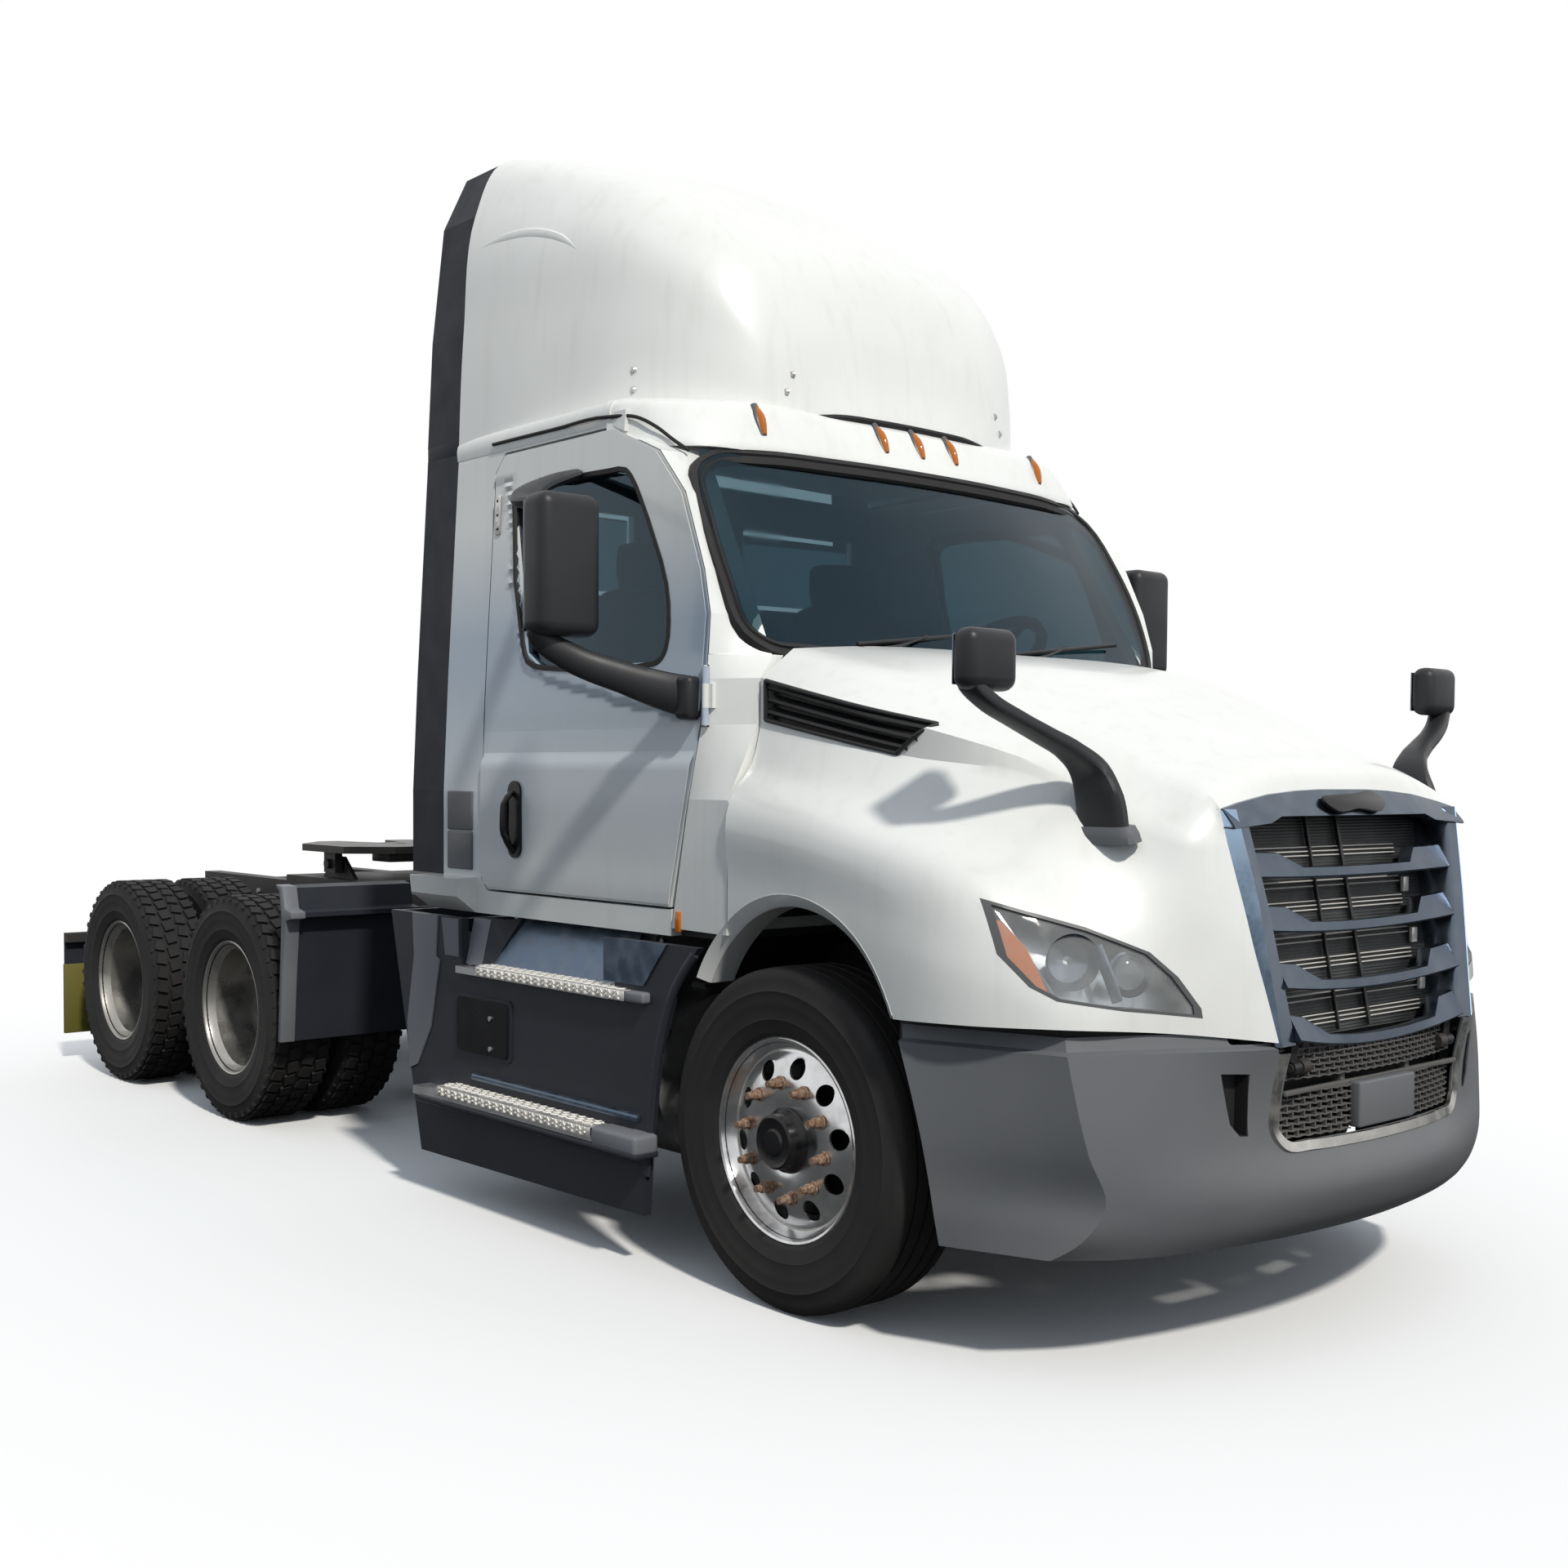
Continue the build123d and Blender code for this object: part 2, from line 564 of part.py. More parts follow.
# roof panel and the brow over the windscreen: station, Y half outlines
roof_top = roof_bottom + roof_thickness
brow_low = [(brow_rear, 990), (-805, 925), (-722, 690), (-696, 250)]
brow_high = [(brow_rear, 1058), (-772, 935), (-655, 690), (-612, 250)]


def both_sides(half):
    return half + [(x, -y) for x, y in reversed(half)]


with BuildPart() as cab_roof:
    block((cab_rear, brow_rear), (-1058, 1058), (roof_bottom, roof_top))
    loft([plan_face(both_sides(brow_low), 2655), plan_face(both_sides(brow_high), roof_top)], ruled=True)
    block((brow_rear - 1, -830), (-940, 940), (2650, roof_bottom), Mode.SUBTRACT)
    block((-831, -770), (-860, 860), (2650, roof_bottom), Mode.SUBTRACT)
write("cab_roof", cab_roof.part)

# windscreen plan at its lower and upper edge: station, Y
screen_low = [(-262, 0), (-270, 480), (-302, 940)]
screen_high = [(-686, 0), (-694, 440), (-722, 870)]
screen_z = (1950.0, 2652.0)


def screen_face(line, z, shift=0.0):
    front = [(x + shift, -y) for x, y in reversed(line)] + [(x + shift, y) for x, y in line[1:]]
    back = [(x - glass_thickness, y) for x, y in reversed(front)]
    return plan_face(front + back, z)


# cowl panel between door and hood: height, Y at the door, Y at the hood, front station
cowl_levels = ((1085, 1125, 1150, -250), (1490, 1125, 1148, -250), (1720, 1114, 1034, -250),
               (1860, 1108, 1022, -252), (1935, 1105, 950, -275))


door_lip = 14.0
# windscreen pillar: height, station of its rear edge beside the door
pillar_levels = ((1935, -398), (2060, -397), (2200, -437), (2450, -552), (2600, -697), (2655, -830))


def cab_side_at(z):
    """Y of the cab side's outer face at this height."""
    for (y0, z0), (y1, z1) in zip(cab_side, cab_side[1:]):
        if z0 <= z <= z1:
            return y0 + (y1 - y0) * (z - z0) / (z1 - z0)
    return cab_side[0][0]


def door_front_at(z):
    """Station of the door's front edge at this height."""
    for (x0, z0), (x1, z1) in zip(door_front, door_front[1:]):
        if z0 <= z <= z1:
            return x0 + (x1 - x0) * (z - z0) / (z1 - z0)
    return door_front[0][0]


with BuildPart() as cab_cowl:
    for _, side in sides:
        faces = []
        for z, y_door, y_hood, front in cowl_levels:
            rear = door_front_at(z) + shut_gap
            faces.append(plan_face([(rear, side * y_door), (front, side * y_hood), (front, side * (y_hood - wall)),
                                    (rear, side * (y_door - wall))], z))
        loft(faces, ruled=True)
        # windscreen pillar between the door's front edge and the screen's side
        pillar = []
        for z, edge in pillar_levels:
            t = (z - screen_z[0]) / (screen_z[1] - screen_z[0])
            screen = screen_low[2][0] + t * (screen_high[2][0] - screen_low[2][0])
            y_screen = screen_low[2][1] + t * (screen_high[2][1] - screen_low[2][1])
            y = cab_side_at(z)
            jamb = y - wall - 8
            pillar.append(plan_face([(edge, side * y), (screen + 1, side * y_screen),
                                     (screen - 50, side * y_screen), (edge - 60, side * jamb),
                                     (edge - 28, side * jamb), (edge - 28, side * (y - door_lip - 8)),
                                     (edge - 6, side * (y - door_lip - 8))], z))
        loft(pillar, ruled=True)
        block((-450, door_hinge[0]), (side * 1060, side * 1140), hinge_z, Mode.SUBTRACT)
        rod_z(door_knuckle_radius + 4, door_hinge[0], side * door_hinge[1], hinge_z, Mode.SUBTRACT)
        rod_z(door_pin_radius, door_hinge[0], side * door_hinge[1], (hinge_z[0] + 2, hinge_z[1] - 2))
        rod_z(door_knuckle_radius, door_hinge[0], side * door_hinge[1], hinge_middle)
        block((door_hinge[0], door_hinge[0] + 22), (side * 1108, side * (1108 - 14)), hinge_middle)
    firewall = [(0, cab_sill + 30), (1100, cab_sill + 30), (1100, 1490), (1000, 1750), (900, 1930), (0, 1930)]
    cross_prism(mirrored(firewall), (-330, -300))
    block((-480, -300), (-925, 925), (1915, 1940))
write("cab_cowl", cab_cowl.part)

with BuildPart() as cab_glass:
    loft([screen_face(screen_low, screen_z[0]), screen_face(screen_high, screen_z[1])], ruled=True)
    for _, side in sides:
        block((cab_rear + 15, cab_rear + 15 + glass_thickness), (side * 280, side * 915), (2270, 2600))
write("cab_glass", cab_glass.part)

# ------------------------------------------------------------------ doors with their glass and mirrors
for name, side in sides:
    with BuildPart() as door:
        outer = [(side * y, z) for y, z in cab_side]
        inner = [(side * (y - wall), z) for y, z in reversed(cab_side)]
        cross_prism(outer + inner, (door_rear, -380))
        extrude(side_face(door_outline, -1300), amount=-2600, mode=Mode.INTERSECT)
        side_prism(window_outline, (side * 900, side * 1300), Mode.SUBTRACT)
        # rebate inside the front edge, so only a lip closes over the pillar
        rebate = []
        for z, edge in pillar_levels:
            low, high = cab_side_at(z) - wall - 10, cab_side_at(z) - door_lip
            rebate.append(plan_face([(edge + 2, side * high), (edge - 44, side * high),
                                     (edge - 44, side * low), (edge + 2, side * low)], z - 10 if z < 2000 else z))
        loft(rebate, ruled=True, mode=Mode.SUBTRACT)
        # knuckles on the hinge pin
        rod_z(door_knuckle_radius + 4, door_hinge[0], side * door_hinge[1], hinge_z, Mode.SUBTRACT)
        for zs in ((hinge_z[0] + 5, hinge_middle[0] - seat_gap), (hinge_middle[1] + seat_gap, hinge_z[1] - 5)):
            rod_z(door_knuckle_radius, door_hinge[0], side * door_hinge[1], zs)
            block((door_hinge[0] - 45, door_hinge[0]), (side * 1108, side * (1108 - 14)), zs)
            rod_z(door_pin_radius + running_gap, door_hinge[0], side * door_hinge[1], zs, Mode.SUBTRACT)
    write("door_" + name, door.part)

    with BuildPart() as door_glass:
        middle = [(side * (y - 15), z) for y, z in cab_side]
        back = [(side * (y - 15 - glass_thickness), z) for y, z in reversed(cab_side)]
        cross_prism(middle + back, (door_rear, -380))
        extrude(side_face(window_outline, -1300), amount=-2600, mode=Mode.INTERSECT)
    write("door_glass_" + name, door_glass.part)

    # arm from the door's front edge up to the mirror housing, and a short upper arm
    with BuildPart() as mirror:
        block((-560, -425), (side * cab_side_at(1790), side * 1140), (1790, 1860))
        with BuildLine() as arm:
            Polyline((at(-480), side * 1142, 1825), (at(-570), side * 1235, 1880), (at(-690), side * 1400, 1975))
        with BuildSketch(Plane(arm.line @ 0, z_dir=arm.line % 0)):
            Rectangle(60, 46)
        sweep(path=arm.line, transition=Transition.RIGHT)
        block((-765, -640), (side * 1330, side * 1550), (1960, 2440))
        block((-745, -665), (side * cab_side_at(2420), side * 1345), (2420, 2452))
    write("mirror_" + name, mirror.part)

# ------------------------------------------------------------------ roof fairing
# half sections from the side up to the ridge: station, (Y, Z) points
fairing_sections = (
    (cab_rear, ((1060, 2800), (1040, 3200), (990, 3640), (890, 3850), (600, 3925), (0, 3950))),
    (-1500.0, ((1015, 2800), (985, 3200), (925, 3550), (820, 3715), (520, 3800), (0, 3835))),
    (-1100.0, ((905, 2800), (890, 3150), (840, 3400), (735, 3530), (420, 3605), (0, 3635))),
    (-820.0, ((735, 2800), (725, 3020), (690, 3180), (600, 3290), (330, 3355), (0, 3380))),
    (-690.0, ((600, 2800), (590, 2900), (560, 2990), (500, 3060), (260, 3110), (0, 3130))),
)


def fairing_face(station, half, inset, drop):
    side_points = [(y - inset, z - (inset if i else drop)) for i, (y, z) in enumerate(half)]
    side_points[-1] = (0, half[-1][1] - inset)
    return cross_face(side_points + [(-y, z) for y, z in reversed(side_points[:-1])], station)


with BuildPart() as roof_fairing:
    loft([fairing_face(x, half, 0, 0) for x, half in fairing_sections], ruled=True)
    inner = [(cab_rear - 1, fairing_sections[0][1])] + list(fairing_sections[1:-1])
    inner += [(fairing_sections[-1][0] - skin, fairing_sections[-1][1])]
    loft([fairing_face(x, half, skin, 5) for x, half in inner], ruled=True, mode=Mode.SUBTRACT)
write("roof_fairing", roof_fairing.part)

extender_length = 230.0
with BuildPart() as rear_extenders:
    for _, side in sides:
        outer = [(side * y, z) for y, z in cab_side[1:-1]]
        outer = [(side * 1125, 1190)] + outer + [(side * 1060, 2750)]
        inner = [(y - side * 22, z) for y, z in reversed(outer)]
        cross_prism(outer + inner, (cab_rear - extender_length, cab_rear))
    rim = [(y, z) for y, z in fairing_sections[0][1]]
    outer = rim + [(-y, z) for y, z in reversed(rim[:-1])]
    inner = [(y - 22, z - (22 if i else 0)) for i, (y, z) in enumerate(rim[:-1])] + [(0, rim[-1][1] - 22)]
    inner = inner + [(-y, z) for y, z in reversed(inner[:-1])]
    cross_prism(outer + list(reversed(inner)), (cab_rear - extender_length, cab_rear))
write("rear_extenders", rear_extenders.part)

with BuildPart() as marker_lamps:
    for y, station in ((-690, -660), (-175, -635), (0, -635), (175, -635), (690, -660)):
        lamp = [(station - 45, 2700), (station, 2778), (station + 20, 2778), (station - 18, 2700)]
        side_prism(lamp, (y - 16, y + 16))
    add(cab_roof.part, mode=Mode.SUBTRACT)
write("marker_lamps", marker_lamps.part)

# ------------------------------------------------------------------ hood with its fenders
# half sections from the ridge out and down: station, (Y, Z) points
hood_sections = (
    (hood_rear, ((0, 1985), (560, 1980), (900, 1955), (1030, 1860), (1030, 1720), (1065, 1600), (1150, 1490),
                 (1155, 1250), (1155, 1080))),
    (300.0, ((0, 1905), (420, 1895), (800, 1810), (985, 1725), (965, 1625), (1060, 1500), (1180, 1405),
             (1192, 1200), (1190, 930))),
    (740.0, ((0, 1745), (380, 1725), (640, 1665), (790, 1570), (815, 1535), (970, 1390), (1140, 1280),
             (1180, 1120), (1185, 930))),
    (950.0, ((0, 1650), (368, 1637), (608, 1572), (735, 1450), (780, 1370), (870, 1250), (990, 1130),
             (1045, 1010), (1055, 930))),
)
# the nose leans back: Y, Z points in the grille's plane
nose = ((0, 1535), (360, 1522), (600, 1485), (593, 1400), (578, 1310), (562, 1220), (548, 1120), (525, 1000),
        (505, 878))
nose_foot = 1236.0
nose_lean = 0.208


def nose_station(z):
    return nose_foot - nose_lean * (z - 878)


def nose_face(points, back):
    """Face in the leaning plane of the nose, moved back square to that plane."""
    stretch = sqrt(1 + nose_lean ** 2)
    plane = Plane((at(nose_station(0) - back / stretch), 0, -back * nose_lean / stretch), x_dir=(0, 1, 0),
                  z_dir=(1, 0, nose_lean))
    with BuildSketch(plane) as face:
        with BuildLine():
            Polyline([(y, z * stretch) for y, z in points], close=True)
        make_face()
    return face.sketch


def hood_ring(half, inset, drop):
    points = [(max(y - inset, 0), z - inset) for y, z in half[:-1]] + [(half[-1][0] - inset, half[-1][1] - drop)]
    return points + [(-y, z) for y, z in reversed(points[1:])]


def hood_body(inset, drop, rear, nose_back):
    """Loft through the hood's sections, inset from its outer face."""
    faces = [cross_face(hood_ring(half, inset, drop), station) for station, half in hood_sections]
    faces[0] = cross_face(hood_ring(hood_sections[0][1], inset, drop), hood_sections[0][0] - rear)
    faces.append(nose_face(hood_ring(nose, inset, drop), nose_back))
    loft(faces, ruled=True)


# headlamp outline in an upright plane along the hood's corner: distance forward, Z
lamp_outline = [(-461, 1001), (-527, 1036), (-598, 1116), (-628, 1256), (-511, 1223), (-368, 1184), (-198, 1119),
                (-120, 1054), (-57, 972), (-53, 946), (-276, 971)]
lamp_turn = 61.0
vent_outline = [(-222, 1850), (470, 1690), (365, 1640), (-222, 1738)]


def lamp_face(side, grow):
    c, s = cos(radians(lamp_turn)), sin(radians(lamp_turn))
    plane = Plane((front_axle_x, 0, 0), x_dir=(c, -side * s, 0), z_dir=(-side * s, -c, 0))
    with BuildSketch(plane) as face:
        with BuildLine():
            Polyline(lamp_outline, close=True)
        make_face()
        if grow:
            offset(amount=grow, kind=Kind.INTERSECTION)
    return face.sketch


with BuildPart() as hood_solid:
    hood_body(0, 0, 0, 0)
with BuildPart() as hood_core:
    hood_body(skin, 20, 20, skin)
with BuildPart() as lamp_core:
    hood_body(70, 90, 20, 70)

cut_through = 1500.0             # deep enough for a lamp's cut to pass the hood's wall
grille_mouth = [(575, 1468), (-575, 1468), (-487, 905), (487, 905)]
arch_centre = (90.0, 748.0)
arch_radius = 462.0
with BuildPart() as hood_shell:
    add(hood_solid.part)
    add(hood_core.part, mode=Mode.SUBTRACT)
    extrude(nose_face(grille_mouth, 60), amount=160, mode=Mode.SUBTRACT)
    for _, side in sides:
        rod_y(arch_radius, arch_centre[0], (side * 700, side * 1300), arch_centre[1], Mode.SUBTRACT)
        face = lamp_face(side, seat_gap)
        extrude(face, amount=-side * cut_through, mode=Mode.SUBTRACT)
        side_prism(vent_outline, (side * 860, side * 1130), Mode.SUBTRACT)
        arm = [(hood_hinge[0] - 24, hood_hinge[1] - 8), (hood_hinge[0] - 4, hood_hinge[1] + 24),
               (nose_station(905) - 8, 902), (nose_station(905) - 42, 895)]
        side_prism(arm, (side * hood_arm_y[0], side * hood_arm_y[1]))
        rod_y(26, hood_hinge[0], (side * hood_arm_y[0], side * hood_arm_y[1]), hood_hinge[1])
        rod_y(hood_pin_radius + running_gap, hood_hinge[0], (side * hood_arm_y[0], side * hood_arm_y[1]),
              hood_hinge[1], Mode.SUBTRACT)
write("hood_shell", hood_shell.part)

with BuildPart() as headlamps:
    add(hood_solid.part)
    add(lamp_core.part, mode=Mode.SUBTRACT)
    with BuildPart(mode=Mode.PRIVATE) as lamp_prisms:
        for _, side in sides:
            extrude(lamp_face(side, 0), amount=-side * cut_through)
    add(lamp_prisms.part, mode=Mode.INTERSECT)
write("headlamps", headlamps.part)

# ------------------------------------------------------------------ grille, vents and hood mirrors
slat_heights = (1320.0, 1165.0, 1008.0)
slat_height = 46.0
with BuildPart() as grille_frame:
    rim_outer = [(585, 1500), (-585, 1500), (-500, 880), (500, 880)]
    rim_inner = [(530, 1440), (-530, 1440), (-455, 930), (455, 930)]
    mouth_outer = [(y * 0.998, z) for y, z in grille_mouth]
    extrude(nose_face(rim_outer, -seat_gap), amount=22)
    extrude(nose_face(mouth_outer, 40), amount=50)
    extrude(nose_face(rim_inner, 60), amount=160, mode=Mode.SUBTRACT)
    for z in slat_heights:
        reach = 545 - (1440 - z) * 0.148
        slat = [(reach, z + slat_height / 2), (-reach, z + slat_height / 2),
                (-reach + 7, z - slat_height / 2), (reach - 7, z - slat_height / 2)]
        extrude(nose_face(slat, 30), amount=48)
write("grille_frame", grille_frame.part)

with BuildPart() as grille_mesh:
    extrude(nose_face([(y * 0.98, z) for y, z in grille_mouth], 46), amount=6)
write("grille_mesh", grille_mesh.part)

with BuildPart() as hood_vents:
    add(hood_solid.part)
    add(hood_core.part, mode=Mode.SUBTRACT)
    with BuildPart(mode=Mode.PRIVATE) as vent_prisms:
        for _, side in sides:
            side_prism(vent_outline, (side * 860, side * 1130))
    add(vent_prisms.part, mode=Mode.INTERSECT)
write("hood_vents", hood_vents.part)

with BuildPart() as hood_mirrors:
    for _, side in sides:
        with BuildLine() as stalk:
            Polyline((at(912), side * 838, 1280), (at(900), side * 850, 1440), (at(765), side * 1090, 1800))
        with BuildSketch(Plane(stalk.line @ 0, z_dir=stalk.line % 0)):
            Rectangle(70, 44)
        sweep(path=stalk.line, transition=Transition.RIGHT)
        block((700, 800), (side * 1040, side * 1225), (1780, 1935))
        add(hood_solid.part, mode=Mode.SUBTRACT)
write("hood_mirrors", hood_mirrors.part)

# ------------------------------------------------------------------ cab interior
with BuildPart() as seats:
    for y in (-480, 480):
        block((-1490, -950), (y - 250, y + 250), (1480, 1620))
        side_prism([(-1490, 1620), (-1370, 1620), (-1440, 2230), (-1540, 2230)], (y - 240, y + 240))
        side_prism([(-1535, 2230), (-1455, 2230), (-1470, 2410), (-1550, 2410)], (y - 150, y + 150))
write("seats", seats.part)

wheel_centre = (-672.0, 470.0, 2010.0)
wheel_lean = 37.0
with BuildPart() as dashboard:
    dash = [(-330, 1450), (-330, 1900), (-480, 1905), (-600, 1880), (-680, 1780), (-660, 1620), (-520, 1450)]
    side_prism(dash, (-940, 940))
    column = Plane((at(wheel_centre[0]), wheel_centre[1], wheel_centre[2]),
                   z_dir=(-sin(radians(wheel_lean)), 0, cos(radians(wheel_lean))))
    with BuildSketch(column.offset(-300)):
        Circle(34)
    extrude(amount=320)
    with BuildSketch(column.offset(-10)):
        Circle(205)
        Circle(190, mode=Mode.SUBTRACT)
        Rectangle(36, 395)
        Rectangle(395, 36)
    extrude(amount=18)
    with BuildSketch(column.offset(-16)):
        Circle(229)
        Circle(200, mode=Mode.SUBTRACT)
    extrude(amount=30)
write("dashboard", dashboard.part)
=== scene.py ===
# %% [markdown]
# # A day-cab semi truck tractor
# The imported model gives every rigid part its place, in metres, with +X forward, +Y to the driver's left and
# +Z up. This script dresses that model: it rebuilds the pressed and moulded skins as smooth surfaces, adds
# the small fittings, and paints everything with procedural finishes. Lengths along the truck are written as
# stations, in metres ahead of the front axle.

import json
import math

import bmesh
import bpy
from mathutils import Matrix, Vector
from mathutils.bvhtree import BVHTree


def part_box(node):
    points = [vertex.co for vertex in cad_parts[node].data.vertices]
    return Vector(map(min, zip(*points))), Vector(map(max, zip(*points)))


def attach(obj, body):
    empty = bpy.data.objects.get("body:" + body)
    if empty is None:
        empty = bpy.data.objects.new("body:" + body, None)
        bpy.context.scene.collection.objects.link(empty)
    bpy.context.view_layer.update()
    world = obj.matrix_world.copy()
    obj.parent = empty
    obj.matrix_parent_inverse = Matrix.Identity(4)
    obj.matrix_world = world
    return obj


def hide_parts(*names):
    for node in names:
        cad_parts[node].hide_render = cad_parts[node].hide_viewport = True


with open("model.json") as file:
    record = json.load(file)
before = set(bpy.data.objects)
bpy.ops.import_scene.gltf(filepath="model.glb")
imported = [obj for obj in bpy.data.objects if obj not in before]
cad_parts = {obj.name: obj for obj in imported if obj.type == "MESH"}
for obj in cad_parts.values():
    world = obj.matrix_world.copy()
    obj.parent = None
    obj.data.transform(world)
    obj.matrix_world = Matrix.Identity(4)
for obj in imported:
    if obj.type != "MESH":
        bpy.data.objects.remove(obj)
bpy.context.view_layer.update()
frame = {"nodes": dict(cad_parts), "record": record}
nodes = frame["nodes"]
FRONT_AXLE = 2.27
AXLE_HEIGHT = 0.505
sides = (("right", -1), ("left", 1))


def at(station):
    """Row X of a station."""
    return FRONT_AXLE + station


# %% [markdown]
# ## Camera
# A normal lens at chest height looks at the truck's right front corner. A small lens shift centres the
# truck.

# %% Camera
camera_data = bpy.data.cameras.new("camera")
camera = bpy.data.objects.new("camera", camera_data)
bpy.context.scene.collection.objects.link(camera)
bpy.context.scene.camera = camera
camera_data.sensor_width = 36.0
camera_data.lens = 39.99
camera_data.shift_x = -0.00646
camera_data.shift_y = 0.03656
camera_data.clip_end = 200.0
camera.location = (6.052, -4.441, 1.567)
turn = Matrix.Rotation(math.radians(48.57), 4, "Z")
tilt = Matrix.Rotation(math.radians(90 - 2.18), 4, "X")
roll = Matrix.Rotation(math.radians(0.41), 4, "Z")
camera.rotation_euler = (turn @ tilt @ roll).to_euler()
print("camera", tuple(round(v, 3) for v in camera.location))


# %% [markdown]
# ## Shader helpers
# A finish is easier to read as a formula than as a heap of nodes. `Wire` wraps a socket, so that `noise *
# 0.4` adds a Math node, and `Graph.node` makes any other node from its inputs and its settings.

# %% Wires and finishes
class Wire:
    """A number socket that takes part in Python arithmetic."""

    def __init__(self, graph, socket):
        self.graph, self.socket = graph, socket

    def math(self, operation, *values):
        """A Math node over wires and numbers."""
        sockets = dict(enumerate(values))
        return self.graph.node("ShaderNodeMath", sockets, operation=operation).wire("Value")

    def __add__(self, other):
        return self.math("ADD", self, other)

    def __sub__(self, other):
        return self.math("SUBTRACT", self, other)

    def __rsub__(self, other):
        return self.math("SUBTRACT", other, self)

    def __mul__(self, other):
        return self.math("MULTIPLY", self, other)

    __radd__ = __add__
    __rmul__ = __mul__

    def highest(self, other):
        """The larger of two numbers."""
        return self.math("MAXIMUM", self, other)

    def above(self, low, high):
        """0 below low, 1 above high."""
        sockets = {0: self, 1: low, 2: high}
        return self.graph.node("ShaderNodeMapRange", sockets, clamp=True).wire("Result")


class Made:
    """A node that has been placed, giving its outputs as wires."""

    def __init__(self, graph, node):
        self.graph, self.raw = graph, node

    def wire(self, output):
        return Wire(self.graph, self.raw.outputs[output])


class Graph:
    """An emptied node tree that takes new nodes."""

    def __init__(self, owner):
        owner.use_nodes = True
        self.tree = owner.node_tree
        self.tree.nodes.clear()

    def node(self, kind, inputs=None, **settings):
        """The one way to add a node: its type, its sockets and its settings."""
        raw = self.tree.nodes.new(kind)
        for key, value in settings.items():
            setattr(raw, key, value)
        for key, value in (inputs or {}).items():
            self.plug(raw.inputs[key], value)
        return Made(self, raw)

    def plug(self, socket, value):
        """Link a wire to a socket, or write a constant into it."""
        if isinstance(value, Wire):
            self.tree.links.new(value.socket, socket)
        elif isinstance(value, tuple) and len(value) == 3 and socket.type == "RGBA":
            socket.default_value = (*value, 1)
        else:
            socket.default_value = value


class Finish(Graph):
    """One material in the making."""

    def __init__(self, name, **surface):
        self.material = bpy.data.materials.new(name)
        super().__init__(self.material)
        self.surface = self.node("ShaderNodeBsdfPrincipled")
        self.output = self.node("ShaderNodeOutputMaterial", {"Surface": self.surface.wire("BSDF")})
        for key, value in surface.items():
            self.set(key.replace("_", " ").title().replace("Ior", "IOR"), value)

    def set(self, key, value):
        """Link or write one of the surface's sockets."""
        self.plug(self.surface.raw.inputs[key], value)

    def place(self, scale=(1, 1, 1)):
        """Object coordinates, stretched."""
        raw = self.node("ShaderNodeTexCoord").wire("Object")
        return self.node("ShaderNodeMapping", {"Vector": raw, "Scale": scale}).wire("Vector")

    def height(self):
        """Height above the road."""
        return self.node("ShaderNodeSeparateXYZ", {"Vector": self.place()}).wire("Z")

    def noise(self, size, detail=4.0, scale=(1, 1, 1)):
        """Cloudy pattern whose patches have a size in metres."""
        sockets = {"Vector": self.place(scale), "Scale": 1 / size, "Detail": detail}
        return self.node("ShaderNodeTexNoise", sockets).wire("Fac")

    def waves(self, scale, direction):
        """Stripes across one direction."""
        sockets = {"Vector": self.place(), "Scale": scale}
        return self.node("ShaderNodeTexWave", sockets, bands_direction=direction).wire("Fac")

    def blend(self, factor, one, two):
        """Colour one where the factor is 0, colour two where it is 1."""
        made = self.node("ShaderNodeMix", {0: factor, 6: one, 7: two}, data_type="RGBA")
        return Wire(self, made.raw.outputs[2])

    def bump(self, height, strength=0.3, distance=0.002):
        """Roughen the surface by a height pattern."""
        sockets = {"Height": height, "Strength": strength, "Distance": distance}
        self.set("Normal", self.node("ShaderNodeBump", sockets).wire("Normal"))


print("shader helpers ready")

# %% [markdown]
# ## Finishes
# Fleet white is a warm, slightly chalky white with faint rain streaks and grime low down. The mouldings are
# grained grey plastics, the wheels polished aluminium with road film, and the running gear painted black
# iron under dust. Each finish has noise in its colour, most at two scales or more, so that no surface is one
# flat colour.


# %% White paint
def dusty(finish, base, dust, amount, top=1.2, size=0.35):
    """Base colour with dust that thickens towards the road."""
    low = 1 - finish.height().above(0.2, top)
    patches = finish.noise(size, 6.0) * 1.5 - 0.35
    return finish.blend((low * 0.75 + 0.25) * patches.highest(0.0) * amount, base, dust)


def fleet_paint(name, lift=1.0, cast=0.0):
    """Chalky white with rain streaks; a bluish painted shade can lie over the height of the doors, where the
    cab's sides stand in shade.
    """
    made = Finish(name, roughness=0.32, coat_weight=0.5, coat_roughness=0.12)
    streaks = made.noise(0.05, 3.0, (1, 1, 0.06)).above(0.52, 0.78)
    cloud = made.noise(0.6, 5.0).above(0.35, 0.75)
    bright, dull = (tuple(c * lift for c in tone) for tone in ((0.78, 0.79, 0.77), (0.72, 0.72, 0.68)))
    tone = made.blend(streaks * 0.22, made.blend(cloud * 0.35, bright, dull), (0.60, 0.585, 0.53))
    if cast:
        # The cast is painted shade: a bluish band over the cab's sides and doors, between about 1.1 m and
        # 2.45 m.
        height = made.height()
        film = height.above(1.10, 1.95) * (1 - height.above(2.05, 2.45)) * cast
        tone = made.blend(film, tone, (0.35, 0.44, 0.54))
    made.set("Base Color", dusty(made, tone, (0.42, 0.40, 0.36), 0.55, 1.6))
    made.set("Roughness", made.noise(0.2) * 0.2 + 0.24)
    return made


# Two copies of one white: a lifted, lighter one for the hood, roof and fairing, and a darker unlifted one
# with painted shade for the cab's sides and doors.
white = fleet_paint("fleet_white", 1.06)
shaded_side_white = fleet_paint("cab_side_white", 1.0, 1.0)
print("white paint ready")


